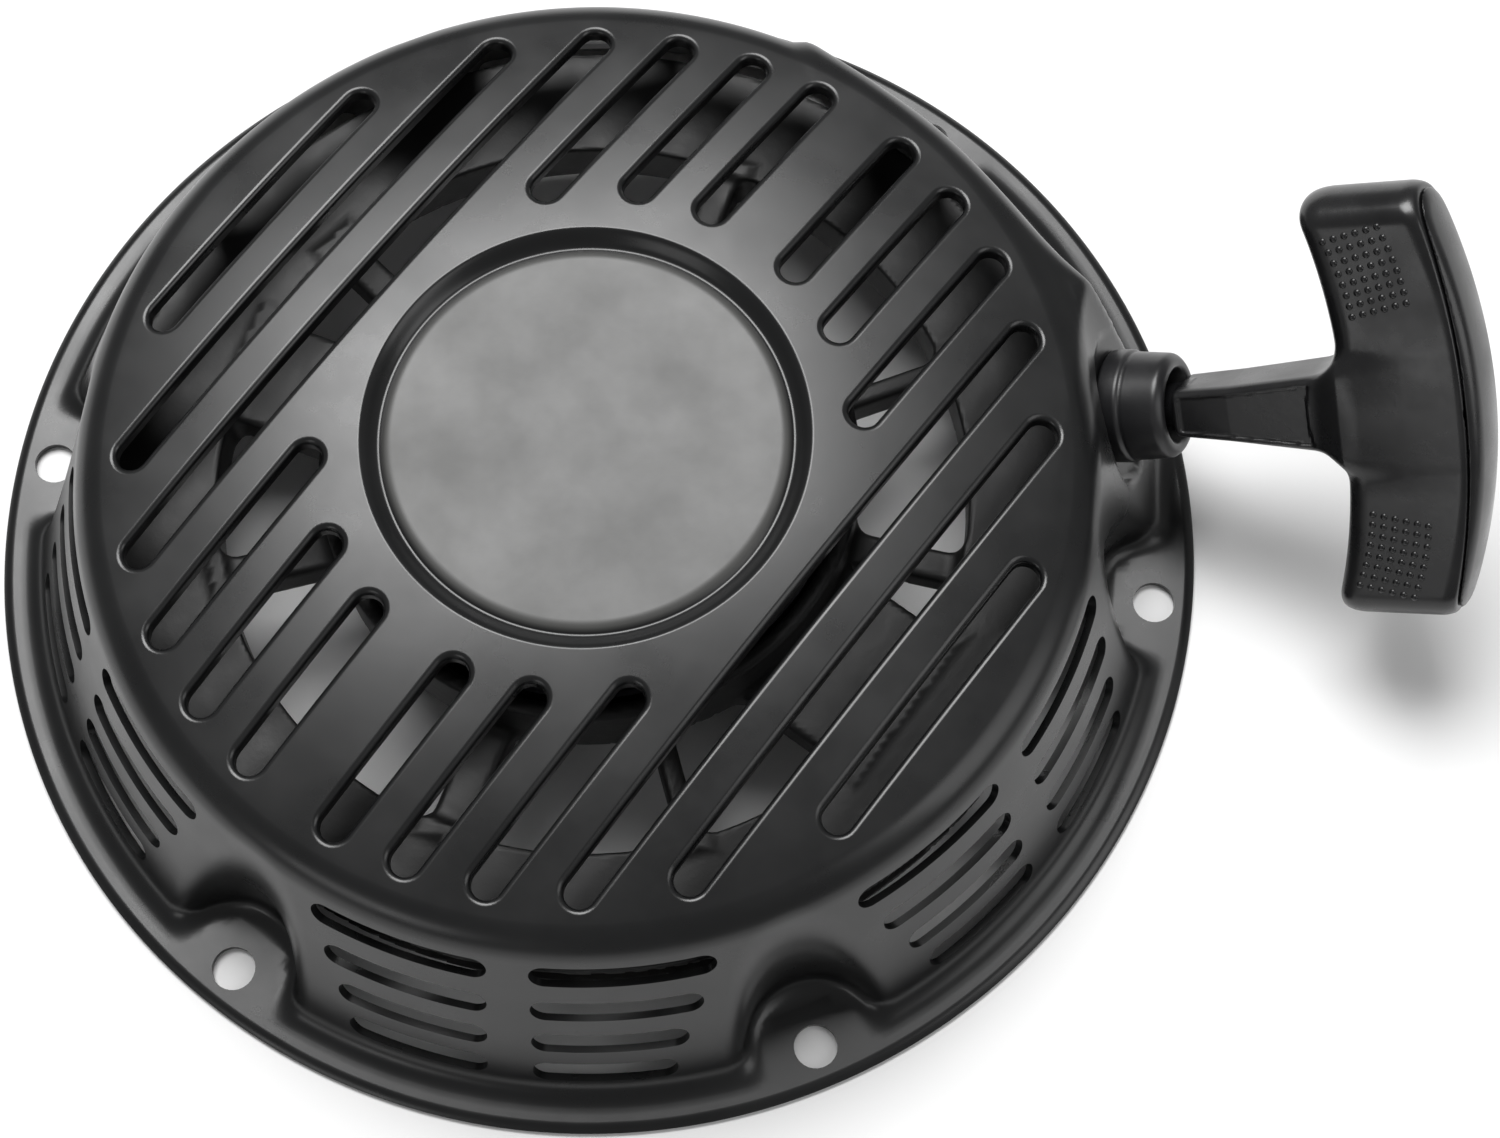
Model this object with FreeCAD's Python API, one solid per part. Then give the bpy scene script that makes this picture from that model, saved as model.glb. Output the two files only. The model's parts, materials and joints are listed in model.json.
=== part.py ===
import FreeCAD, Part
import math
import os
from FreeCAD import Vector

# Recoil starter for a large single cylinder engine, millimetres.
# Origin: centre of the mounting face. +Z: towards the dome. +X: through the bolt
# hole beside the rope guide.

os.makedirs("parts", exist_ok=True)

# ---- housing ----
SHEET = 1.5
FLANGE_R = 118.0
BOLT_CIRCLE_R = 110.3
BOLT_HOLE_R = 4.1
BOLT_COUNT = 6
POCKET_R = 13.0
WALL_BASE_R = 110.8          # outside of the conical wall at the flange
WALL_SLOPE = 0.3826          # radius lost per mm of height
DOME_EDGE_R = 88.5
DOME_EDGE_Z = 47.3
DOME_MID_R = 66.0
DOME_MID_Z = 51.2
DOME_INNER_R = 42.0
DOME_INNER_Z = 54.1
GROOVE_R = 38.6
GROOVE_Z = 51.7
DISC_R = 37.2
DISC_Z = 52.4
SHOULDER_FILLET = 8.0
FOOT_FILLET = 3.5

SLOT_ANGLE = 60.0            # direction of the parallel top slots
SLOT_WIDTH = 5.8
SLOT_FIRST = 9.75            # offset of the middle pair from the centre
SLOT_PITCH = 13.7
SLOT_OUTER_R = 83.1          # circle through the outer end centres
SLOT_INNER_R = 50.6          # circle through the inner end centres
LIP_DEPTH = 3.0

SIDE_ROWS = [(38.0, 2.2, 22.0), (27.4, 2.2, 20.0), (17.2, 2.2, 18.0), (7.8, 2.2, 16.5)]
SIDE_SLOT_HEIGHT = 5.6

# ---- rope exit ----
PULL_YAW = -4.35
PULL_PITCH = 28.0
HANDLE_ROLL = 45.0
COLLAR_MOUTH = Vector(108.6, 30.1, 30.0)   # centre of the collar's front face
COLLAR_STANDOFF = 13.0
COLLAR_R = 10.4
GUIDE_HOLE_R = 8.0
BOSS_TOP_Z = 44.0
BOSS_BOTTOM = [(40, 14), (62, 78), (80.5, 64.5), (108.5, 44.0), (113.5, 38), (113.5, 14)]
BOSS_TOP = [(40, 14), (60, 66), (75.5, 54.5), (97.5, 38.5), (101, 33), (101, 14)]

# ---- rope guide and handle, along the pull direction from the collar's face ----
COLLAR_LENGTH = 7.3
SEAT_FLANGE_R = 12.0
NECK_R = 7.5
GUIDE_INNER_END = 17.0
GUIDE_BORE_R = 3.4
ROPE_R = 2.5
ROPE_PITCH = 5.05
GRIP_ROPE_HOLE_R = 3.0
RUN_START = -15.8
STEM_SECTIONS = [(0.8, 4.6, 6.4), (12.0, 5.4, 7.2), (35.0, 7.9, 8.0)]
BAR_HALF_LENGTH = 43.5
BAR_HALF_THICKNESS = 9.5
BAR_INNER_END = 27.0
BAR_INNER_MID = 32.3
SEAM_MID = 56.8
SEAM_END = 53.9
CAP_MID = 60.0
CAP_END = 52.0
CHAMBER_R = 7.6
CHAMBER_START = 40.0
WASHER_R = 7.0
WASHER_THICKNESS = 1.5
KNOT_R = 5.2
KNOT_TAIL = 12.0
REEL_KNOT_R = 4.6
REEL_KNOT_TAIL = 11.5

# ---- centre post ----
POST_R = 8.0
POST_SHOULDER_Z = 15.2
STUB_R = 5.0
STUB_BOTTOM_Z = 11.0
HUB_PLATE_R = 34.0
HUB_PLATE_THICKNESS = 1.5
WASHER_BOTTOM_Z = 9.8
SCREW_R = 2.5
SCREW_TOP_Z = 26.0
SCREW_HEAD_R = 6.0
SCREW_HEAD_Z = 6.4
RUNNING_GAP = 0.05

# ---- reel ----
RIM_INNER_R = 71.3
RIM_OUTER_R = 93.0
RIM_BOTTOM_Z = 17.0
RIM_TOP_Z = 27.3
ROPE_Z = 21.5
GROOVE_CORE_R = 73.2
GROOVE_WIDTH = 6.2
CUP_R = 50.2
CUP_WALL = 3.0
CUP_FLOOR_Z = 24.0
CUP_FLOOR_TOP_Z = 27.0
CUP_TOP_Z = 41.0
HUB_TUBE_R = 13.0
HUB_TUBE_BOTTOM_Z = 15.5
HUB_TUBE_TOP_Z = 49.0
SPOKE_BOTTOM_Z = 19.0
SPOKE_TOP_Z = 26.0
SPOKES = [(28.0, 4.0), (77.0, 6.0), (142.5, 6.6), (167.0, 20.0), (202.0, 6.6),
          (257.0, 8.0), (293.0, 4.4), (331.0, 33.0), (354.5, 6.2)]
ROPE_TURNS = 2.8
SPRING_TURNS = 7
SPRING_INNER_R = 15.0
SPRING_OUTER_R = 46.6
SPRING_THICKNESS = 1.0
SPRING_HEIGHT = 12.0

# ---- ratchet ----
PAWL_ANGLES = (90.0, 270.0)
PAWL_PIVOT_R = 27.0
PAWL_PIN_R = 3.0
PAWL_BOTTOM_Z = 18.2
PAWL_TOP_Z = 23.8
PAWL_LENGTH = 22.0
PAWL_REST_ANGLE = -115.0     # from the radial line through its pivot
PAWL_SWING = 35.0
PAWL_WIRE_R = 0.5
PAWL_WIRE_Z = 16.8
NUB_DISTANCE = 12.0
NUB_R = 1.6
NUB_BOTTOM_Z = 12.6
GUIDE_PLATE_R = 35.0
GUIDE_PLATE_Z = 13.0
GUIDE_PLATE_THICKNESS = 2.0
GUIDE_SWING = 25.0


def save(node, shape):
    shape.exportStep("parts/" + node + ".step")


def polar(radius, angle, z=0.0):
    a = math.radians(angle)
    return Vector(radius * math.cos(a), radius * math.sin(a), z)


def pull_axes():
    """Pull direction, then the crossbar direction and the grip's face normal."""
    yaw = math.radians(PULL_YAW)
    pitch = math.radians(PULL_PITCH)
    roll = math.radians(HANDLE_ROLL)
    pull = Vector(math.cos(yaw) * math.cos(pitch), math.sin(yaw) * math.cos(pitch), math.sin(pitch))
    level = Vector(-math.sin(yaw), math.cos(yaw), 0)
    rise = pull.cross(level)
    bar = level * math.cos(roll) + rise * math.sin(roll)
    face = rise * math.cos(roll) - level * math.sin(roll)
    return pull, bar, face


PULL, BAR, FACE = pull_axes()
SEAT = COLLAR_MOUTH - PULL * COLLAR_STANDOFF


def along_pull(distance):
    return COLLAR_MOUTH + PULL * distance


def to_pull_frame(shape):
    """Move a shape drawn as X = pull, Y = crossbar, Z = face to the rope exit."""
    m = FreeCAD.Matrix(PULL.x, BAR.x, FACE.x, COLLAR_MOUTH.x,
                       PULL.y, BAR.y, FACE.y, COLLAR_MOUTH.y,
                       PULL.z, BAR.z, FACE.z, COLLAR_MOUTH.z,
                       0, 0, 0, 1)
    placed = shape.copy()
    placed.Placement = FreeCAD.Placement(m).multiply(shape.Placement)
    return placed


def prism(points, z0, height):
    corners = [Vector(x, y, z0) for x, y in points]
    return Part.Face(Part.makePolygon(corners + [corners[0]])).extrude(Vector(0, 0, height))


def stadium(length, width, z0, height):
    r = width / 2
    a = Vector(-length / 2, 0, z0)
    b = Vector(length / 2, 0, z0)
    side = Vector(0, r, 0)
    edges = [Part.makeLine(a - side, b - side),
             Part.Arc(b - side, b + Vector(r, 0, 0), b + side).toShape(),
             Part.makeLine(b + side, a + side),
             Part.Arc(a + side, a - Vector(r, 0, 0), a - side).toShape()]
    return Part.Face(Part.Wire(edges)).extrude(Vector(0, 0, height))


def revolve_profile(edges):
    face = Part.Face(Part.Wire(edges))
    return face.revolve(Vector(0, 0, 0), Vector(0, 0, 1), 360)


def lathe(points):
    corners = [Vector(r, 0, z) for r, z in points]
    return Part.Face(Part.makePolygon(corners + [corners[0]])).revolve(
        Vector(0, 0, 0), Vector(0, 0, 1), 360)


def round_edges(shape, radius, chosen):
    edges = [e for e in shape.Edges if chosen(e)]
    try:
        rounded = shape.makeFillet(radius, edges)
    except Part.OCCError:
        return shape
    return rounded if rounded.isValid() and rounded.Volume > 0 else shape


def ring_at(edge, radius, z, slack=0.3):
    box = edge.BoundBox
    return (abs(box.ZMax - z) < slack and abs(box.ZMin - z) < slack
            and abs(box.XMax - radius) < slack and box.XLength > radius)


# ---- housing ----

def dome_body(inset):
    """Solid of the dome and wall; inset is the distance inside the outer skin."""
    side = inset / math.cos(math.atan(WALL_SLOPE))
    base = WALL_BASE_R - side
    crown = Part.Arc(Vector(DOME_EDGE_R, 0, DOME_EDGE_Z - inset),
                     Vector(DOME_MID_R, 0, DOME_MID_Z - inset),
                     Vector(DOME_INNER_R, 0, DOME_INNER_Z - inset))
    fall = 2 * (DOME_MID_Z - DOME_EDGE_Z) / (DOME_EDGE_R - DOME_MID_R) * 0.5
    flat_r = DOME_EDGE_R + (DOME_EDGE_Z - inset) / fall
    corner_r = (base - WALL_SLOPE * fall * flat_r) / (1 - WALL_SLOPE * fall)
    shoulder_z = (base - corner_r) / WALL_SLOPE
    points = [Vector(DOME_EDGE_R, 0, DOME_EDGE_Z - inset), Vector(corner_r, 0, shoulder_z),
              Vector(base, 0, 0), Vector(0, 0, 0), Vector(0, 0, DISC_Z - inset),
              Vector(DISC_R - inset * 0.3, 0, DISC_Z - inset),
              Vector(GROOVE_R - inset * 0.3, 0, GROOVE_Z - inset),
              Vector(GROOVE_R + 1.0 - inset * 0.3, 0, GROOVE_Z - inset),
              Vector(DOME_INNER_R, 0, DOME_INNER_Z - inset)]
    edges = [crown.toShape()]
    for a, b in zip(points, points[1:]):
        edges.append(Part.makeLine(a, b))
    edges = Part.sortEdges(edges)[0]
    body = revolve_profile(edges)
    return round_edges(body, SHOULDER_FILLET - inset,
                       lambda e: ring_at(e, corner_r, shoulder_z))


def shrink(points, inset):
    """Move every side of a convex outline inwards by the inset."""
    count = len(points)
    middle = (sum(x for x, y in points) / count, sum(y for x, y in points) / count)
    lines = []
    for i in range(count):
        (ax, ay), (bx, by) = points[i], points[(i + 1) % count]
        length = math.hypot(bx - ax, by - ay)
        nx, ny = (by - ay) / length, (ax - bx) / length
        if nx * (middle[0] - ax) + ny * (middle[1] - ay) < 0:
            nx, ny = -nx, -ny
        lines.append((nx, ny, nx * ax + ny * ay + inset))
    corners = []
    for i in range(count):
        (n1x, n1y, c1), (n2x, n2y, c2) = lines[i - 1], lines[i]
        det = n1x * n2y - n2x * n1y
        corners.append(((c1 * n2y - c2 * n1y) / det, (n1x * c2 - n2x * c1) / det))
    return corners


def boss_body(inset):
    """Bulge that carries the rope guide, cut square to the pull direction."""
    wires = []
    for outline, z in ((BOSS_BOTTOM, 0), (BOSS_TOP, BOSS_TOP_Z - inset)):
        corners = [Vector(x, y, z) for x, y in shrink(outline, inset)]
        wires.append(Part.makePolygon(corners + corners[:1]))
    bulge = Part.makeLoft(wires, True, True)
    top = BOSS_TOP_Z - inset
    bulge = round_edges(bulge, 5.0 - inset,
                        lambda e: e.CenterOfMass.x > 72 and e.BoundBox.ZMin > top - 1
                        or e.BoundBox.ZLength > 40 and e.CenterOfMass.x > 88)
    block = Part.makeCylinder(200, 200, SEAT - PULL * inset, PULL)
    return bulge.cut(block)


def pocket(angle, radius, z0):
    return Part.makeCylinder(radius, 80, polar(BOLT_CIRCLE_R, angle, z0))


def shell():
    outer = dome_body(0).fuse(boss_body(0))
    recess = Part.makeCylinder(15.5, 40, SEAT, PULL)
    outer = outer.cut(recess)
    inner = dome_body(SHEET).fuse(boss_body(SHEET))
    inner = inner.cut(Part.makeCylinder(15.5 + SHEET, 40, SEAT - PULL * SHEET, PULL))
    for i in range(BOLT_COUNT):
        angle = i * 360 / BOLT_COUNT
        outer = outer.cut(pocket(angle, POCKET_R, SHEET))
        inner = inner.cut(pocket(angle, POCKET_R + SHEET, -1))
    outer = outer.fuse(Part.makeCylinder(FLANGE_R, SHEET))
    below = Part.makeBox(400, 400, 50, Vector(-200, -200, -50))
    return outer.cut(below), inner


def slot_spans():
    """Offset from the centre line, start and end of every top slot."""
    spans = []
    for side in (-1, 1):
        for i in range(6):
            offset = side * (SLOT_FIRST + SLOT_PITCH * i)
            reach = math.sqrt(SLOT_OUTER_R ** 2 - offset ** 2)
            if abs(offset) < SLOT_INNER_R:
                gap = math.sqrt(SLOT_INNER_R ** 2 - offset ** 2) if i < 3 else 0
            else:
                gap = 0
            if gap:
                spans.append((offset, -reach, -gap))
                spans.append((offset, gap, reach))
            else:
                spans.append((offset, -reach, reach))
    return spans


def slot_prism(span, extra, z0, height):
    offset, start, end = span
    shape = stadium(end - start, SLOT_WIDTH + 2 * extra, z0, height)
    shape.translate(Vector((start + end) / 2, offset, 0))
    shape.rotate(Vector(0, 0, 0), Vector(0, 0, 1), SLOT_ANGLE)
    return shape


def side_slot(z, from_angle, to_angle):
    """Horizontal stadium slot cut radially through the wall."""
    r = WALL_BASE_R - z * WALL_SLOPE
    mid = (from_angle + to_angle) / 2
    half = math.radians(to_angle - from_angle) / 2 * r - SIDE_SLOT_HEIGHT / 2
    reach = math.degrees(half / r)
    pieces = []
    arc = Part.makeCylinder(r + 8, SIDE_SLOT_HEIGHT, Vector(0, 0, z - SIDE_SLOT_HEIGHT / 2),
                            Vector(0, 0, 1), 2 * reach)
    arc = arc.cut(Part.makeCylinder(r - 12, SIDE_SLOT_HEIGHT, Vector(0, 0, z - SIDE_SLOT_HEIGHT / 2)))
    arc.rotate(Vector(0, 0, 0), Vector(0, 0, 1), mid - reach)
    pieces.append(arc)
    for end in (mid - reach, mid + reach):
        pieces.append(Part.makeCylinder(SIDE_SLOT_HEIGHT / 2, 20, polar(r - 12, end, z), polar(1, end)))
    return pieces[0].fuse(pieces[1:])


def side_slots():
    cuts = []
    for sector in range(BOLT_COUNT):
        middle = 30 + 60 * sector
        for z, near, far in SIDE_ROWS:
            cuts.append(side_slot(z, middle + near, middle + far))
            if sector != 0:
                cuts.append(side_slot(z, middle - far, middle - near))
    return cuts


def make_housing():
    outer, inner = shell()
    thick = outer.cut(inner.translated(Vector(0, 0, SHEET - LIP_DEPTH - 0.5)))
    skin = outer.cut(inner)
    spans = slot_spans()
    lips = [thick.common(slot_prism(s, SHEET, 30, 40)) for s in spans]
    body = skin.fuse(lips)
    body = body.cut([slot_prism(s, 0, 20, 50) for s in spans] + side_slots())
    holes = [Part.makeCylinder(BOLT_HOLE_R, 10, polar(BOLT_CIRCLE_R, i * 60, -3)) for i in range(6)]
    holes.append(Part.makeCylinder(GUIDE_HOLE_R, 12, SEAT - PULL * 6, PULL))
    return body.cut(holes).removeSplitter()


def make_hub_plate():
    top = DISC_Z - SHEET
    plate = Part.makeCylinder(HUB_PLATE_R, HUB_PLATE_THICKNESS, Vector(0, 0, top - HUB_PLATE_THICKNESS))
    return round_edges(plate, 0.5, lambda e: ring_at(e, HUB_PLATE_R, top - HUB_PLATE_THICKNESS))


def make_centre_post():
    top = DISC_Z - SHEET - HUB_PLATE_THICKNESS
    bore = SCREW_R + RUNNING_GAP
    return lathe([(bore, STUB_BOTTOM_Z), (STUB_R, STUB_BOTTOM_Z), (STUB_R, POST_SHOULDER_Z),
                  (POST_R, POST_SHOULDER_Z), (POST_R, top), (0, top),
                  (0, SCREW_TOP_Z + 1), (bore, SCREW_TOP_Z + 1)])


def make_thrust_washer():
    return lathe([(SCREW_R + RUNNING_GAP, WASHER_BOTTOM_Z), (12, WASHER_BOTTOM_Z),
                  (12, STUB_BOTTOM_Z), (SCREW_R + RUNNING_GAP, STUB_BOTTOM_Z)])


def make_set_screw():
    head = lathe([(0, SCREW_HEAD_Z), (SCREW_HEAD_R - 1, SCREW_HEAD_Z), (SCREW_HEAD_R, SCREW_HEAD_Z + 1),
                  (SCREW_HEAD_R, WASHER_BOTTOM_Z), (SCREW_R, WASHER_BOTTOM_Z),
                  (SCREW_R, SCREW_TOP_Z), (0, SCREW_TOP_Z)])
    hexagon = [(3 * math.cos(math.radians(a)), 3 * math.sin(math.radians(a))) for a in range(0, 360, 60)]
    return head.cut(prism(hexagon, SCREW_HEAD_Z - 1, 3))


# ---- rope guide ----

def pull_lathe(points):
    """Solid of revolution about the pull direction; points are (distance, radius)."""
    body = lathe([(r, t) for t, r in points])
    body.rotate(Vector(0, 0, 0), Vector(0, 1, 0), 90)
    return to_pull_frame(body)


def make_rope_guide():
    body = pull_lathe([(-GUIDE_INNER_END, GUIDE_BORE_R + 2), (-GUIDE_INNER_END, 9.2),
                       (-COLLAR_STANDOFF - SHEET - 0.05, 9.2),
                       (-COLLAR_STANDOFF - SHEET - 0.05, NECK_R), (-COLLAR_STANDOFF, NECK_R),
                       (-COLLAR_STANDOFF, SEAT_FLANGE_R), (-COLLAR_LENGTH - 2, SEAT_FLANGE_R),
                       (-COLLAR_LENGTH, COLLAR_R), (-1.5, COLLAR_R), (0, COLLAR_R - 1.5),
                       (0, 7.3), (-4.8, 5.8), (-6.5, GUIDE_BORE_R), (-GUIDE_INNER_END + 3, GUIDE_BORE_R)])
    slit = Part.makeBox(7, 1.6, 8, Vector(-5, -0.8, 4))
    slit.rotate(Vector(0, 0, 0), Vector(1, 0, 0), -HANDLE_ROLL)
    return body.cut(to_pull_frame(slit))


# ---- handle, drawn with X = pull, Y = crossbar, Z = face ----

def rounded_wire(x, half_y, half_z):
    r = 0.8 * min(half_y, half_z)
    corners = [(half_y, half_z), (-half_y, half_z), (-half_y, -half_z), (half_y, -half_z)]
    box = Part.makePolygon([Vector(x, y, z) for y, z in corners + corners[:1]])
    face = Part.Face(box)
    solid = face.extrude(Vector(1, 0, 0))
    solid = solid.makeFillet(r, [e for e in solid.Edges if e.BoundBox.XLength > 0.5])
    for f in solid.Faces:
        if f.BoundBox.XLength < 1e-6 and abs(f.BoundBox.XMin - x) < 1e-6:
            return f.OuterWire


def make_grip():
    stem = Part.makeLoft([rounded_wire(*section) for section in STEM_SECTIONS], True, True)
    plug = Part.makeCone(4.4, 5.0, 5.0, Vector(-4.0, 0, 0), Vector(1, 0, 0))
    h = BAR_HALF_THICKNESS
    y = BAR_HALF_LENGTH
    a = Vector(BAR_INNER_END, -y, -h)
    b = Vector(BAR_INNER_END, y, -h)
    c = Vector(SEAM_END, y, -h)
    d = Vector(SEAM_END, -y, -h)
    inner = Part.Arc(a, Vector(BAR_INNER_MID, 0, -h), b)
    seam = Part.Arc(c, Vector(SEAM_MID, 0, -h), d)
    outline = Part.Wire([inner.toShape(), Part.makeLine(b, c), seam.toShape(), Part.makeLine(d, a)])
    bar = Part.Face(outline).extrude(Vector(0, 0, 2 * h))
    bar = round_edges(bar, 5.0, lambda e: e.BoundBox.ZLength > h and e.CenterOfMass.x < 40)
    bar = round_edges(bar, 3.0, lambda e: e.BoundBox.ZLength < 0.1 and e.CenterOfMass.x < 50)
    grip = bar.fuse([stem, plug])
    rope_hole = Part.makeCylinder(GRIP_ROPE_HOLE_R, 60, Vector(-6, 0, 0), Vector(1, 0, 0))
    chamber = Part.makeCylinder(CHAMBER_R, 30, Vector(CHAMBER_START, 0, 0), Vector(1, 0, 0))
    return to_pull_frame(grip.cut([rope_hole, chamber]))


def make_cap():
    h = BAR_HALF_THICKNESS
    y = BAR_HALF_LENGTH
    seam = Part.Arc(Vector(SEAM_END, -y, -h), Vector(SEAM_MID, 0, -h), Vector(SEAM_END, y, -h))
    outer = Part.Arc(Vector(SEAM_END + 0.8, y, -h), Vector(CAP_MID, 0, -h), Vector(SEAM_END + 0.8, -y, -h))
    ends = [Part.makeLine(Vector(SEAM_END, s * y, -h), Vector(SEAM_END + 0.8, s * y, -h)) for s in (-1, 1)]
    outline = Part.Wire(Part.sortEdges([seam.toShape(), ends[1], outer.toShape(), ends[0]])[0])
    cap = Part.Face(outline).extrude(Vector(0, 0, 2 * h))
    cap = round_edges(cap, 0.7, lambda e: e.BoundBox.ZLength < 0.1 and e.CenterOfMass.x > SEAM_MID)
    return to_pull_frame(cap)


def make_handle_washer():
    ring = Part.makeCylinder(WASHER_R, WASHER_THICKNESS, Vector(CHAMBER_START, 0, 0), Vector(1, 0, 0))
    hole = Part.makeCylinder(GRIP_ROPE_HOLE_R, 10, Vector(CHAMBER_START - 2, 0, 0), Vector(1, 0, 0))
    return to_pull_frame(ring.cut(hole))


def knot(radius, flat, tail):
    """Rounded lump with a rope tail, on +Z; flat is how much is pressed off at Z = 0."""
    centre = radius - flat
    foot = math.sqrt(radius ** 2 - centre ** 2)
    neck = math.sqrt(radius ** 2 - ROPE_R ** 2)
    bulge = Part.Arc(Vector(foot, 0, 0), Vector(radius, 0, centre), Vector(ROPE_R, 0, centre + neck))
    points = [Vector(ROPE_R, 0, centre + neck), Vector(ROPE_R, 0, tail), Vector(0, 0, tail),
              Vector(0, 0, 0), Vector(foot, 0, 0)]
    edges = [bulge.toShape()] + [Part.makeLine(p, q) for p, q in zip(points, points[1:])]
    return revolve_profile(edges)


def make_handle_knot():
    lump = knot(KNOT_R, 0.4, KNOT_TAIL)
    at = Vector(CHAMBER_START + WASHER_THICKNESS, 0, 0)
    lump.Placement = FreeCAD.Placement(at, FreeCAD.Rotation(Vector(0, 0, 1), Vector(1, 0, 0)))
    return to_pull_frame(lump)


def make_rope_run():
    end = CHAMBER_START + WASHER_THICKNESS
    rope = Part.makeCylinder(ROPE_R, end - RUN_START, Vector(RUN_START, 0, 0), Vector(1, 0, 0))
    return to_pull_frame(rope)


# ---- rope on the reel ----

def coil_end_r():
    return GROOVE_CORE_R + ROPE_R + 0.1 + ROPE_TURNS * ROPE_PITCH


BEND = along_pull(-19.0)


def leaving_angle():
    reach = math.hypot(BEND.x, BEND.y)
    return math.degrees(math.atan2(BEND.y, BEND.x) + math.acos(coil_end_r() / reach))


def sweep(path, at, direction, radius):
    circle = Part.Wire(Part.makeCircle(radius, at, direction))
    return Part.Wire(path).makePipeShell([circle], True, True)


def make_rope_coil():
    """Spiral of half turns; the outer end leaves clockwise, seen from above."""
    radius = coil_end_r()
    angle = leaving_angle()
    centre = Vector(0, 0, ROPE_Z)
    left = 2 * ROPE_TURNS
    path = []
    while left > 0.01:
        sweep_angle = 180 * min(1, left)
        points = [centre + polar(radius, angle + sweep_angle * part) for part in (0, 0.5, 1)]
        path.append(Part.Arc(*points).toShape())
        angle += sweep_angle
        centre += polar(ROPE_PITCH / 2, angle)
        radius -= ROPE_PITCH / 2
        left -= 1
    start = polar(coil_end_r(), leaving_angle(), ROPE_Z)
    return sweep(path, start, polar(1, leaving_angle() + 90), ROPE_R)


def make_rope_lead():
    """Rope from the reel to the guide, turned into the pull direction by the guide."""
    leave = polar(coil_end_r(), leaving_angle(), ROPE_Z)
    heading = (BEND - leave).normalize()
    clear = math.sqrt((coil_end_r() + ROPE_PITCH + 0.2) ** 2 - coil_end_r() ** 2)
    turn = 2.8
    start = leave + heading * clear
    before = BEND - heading * turn
    after = along_pull(-19.0 + turn)
    inside = (PULL - heading).normalize()
    bend_angle = heading.getAngle(PULL)
    bend_r = turn / math.tan(bend_angle / 2)
    middle = BEND + inside * (bend_r / math.cos(bend_angle / 2) - bend_r)
    path = [Part.makeLine(start, before), Part.Arc(before, middle, after).toShape()]
    end = along_pull(RUN_START)
    rope = sweep(path, start, heading, ROPE_R)
    return rope.fuse(Part.makeCylinder(ROPE_R, (end - after).Length, after, PULL))


def knot_angle():
    return leaving_angle() + 360 * ROPE_TURNS


def make_reel_knot():
    """Knot inside the rim; its tail passes out through the rim to the groove."""
    lump = knot(REEL_KNOT_R, 0.4, REEL_KNOT_TAIL)
    at = polar(RIM_INNER_R - REEL_KNOT_TAIL + 2.0, knot_angle(), ROPE_Z)
    lump.Placement = FreeCAD.Placement(at, FreeCAD.Rotation(Vector(0, 0, 1), polar(1, knot_angle())))
    return lump


# ---- reel ----

def make_reel():
    low = ROPE_Z - GROOVE_WIDTH / 2
    high = ROPE_Z + GROOVE_WIDTH / 2
    rim = lathe([(RIM_INNER_R, RIM_BOTTOM_Z), (RIM_OUTER_R, RIM_BOTTOM_Z), (RIM_OUTER_R, low),
                 (GROOVE_CORE_R, low), (GROOVE_CORE_R, high), (RIM_OUTER_R, high),
                 (RIM_OUTER_R, RIM_TOP_Z), (RIM_INNER_R, RIM_TOP_Z)])
    bore = POST_R + RUNNING_GAP
    hub = lathe([(bore, HUB_TUBE_BOTTOM_Z), (HUB_TUBE_R, HUB_TUBE_BOTTOM_Z), (HUB_TUBE_R, CUP_FLOOR_Z),
                 (CUP_R, CUP_FLOOR_Z), (CUP_R, CUP_TOP_Z), (CUP_R - CUP_WALL, CUP_TOP_Z),
                 (CUP_R - CUP_WALL, CUP_FLOOR_TOP_Z), (HUB_TUBE_R, CUP_FLOOR_TOP_Z),
                 (HUB_TUBE_R, HUB_TUBE_TOP_Z), (bore, HUB_TUBE_TOP_Z)])
    parts = [hub]
    for angle, width in SPOKES:
        spoke = Part.makeBox(RIM_INNER_R + 1 - CUP_R + 1, width, SPOKE_TOP_Z - SPOKE_BOTTOM_Z,
                             Vector(CUP_R - 1, -width / 2, SPOKE_BOTTOM_Z))
        spoke.rotate(Vector(0, 0, 0), Vector(0, 0, 1), angle)
        parts.append(spoke)
    for angle in PAWL_ANGLES:
        pivot = polar(PAWL_PIVOT_R, angle, 0)
        parts.append(Part.makeCylinder(PAWL_PIN_R, CUP_FLOOR_Z - 17.9, pivot + Vector(0, 0, 17.9)))
        parts.append(Part.makeCylinder(PAWL_PIN_R - 0.4, 5, pivot + Vector(0, 0, 15.6)))
    body = rim.fuse(parts)
    knot = polar(RIM_INNER_R - 5.0, knot_angle(), 0)
    pocket_cut = Part.makeCylinder(5.0, SPOKE_TOP_Z + 0.6 - 10, knot + Vector(0, 0, 10))
    hole = Part.makeCylinder(ROPE_R + 0.3, 8, knot + Vector(0, 0, ROPE_Z), polar(1, knot_angle()))
    return body.cut([pocket_cut, hole])


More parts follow.
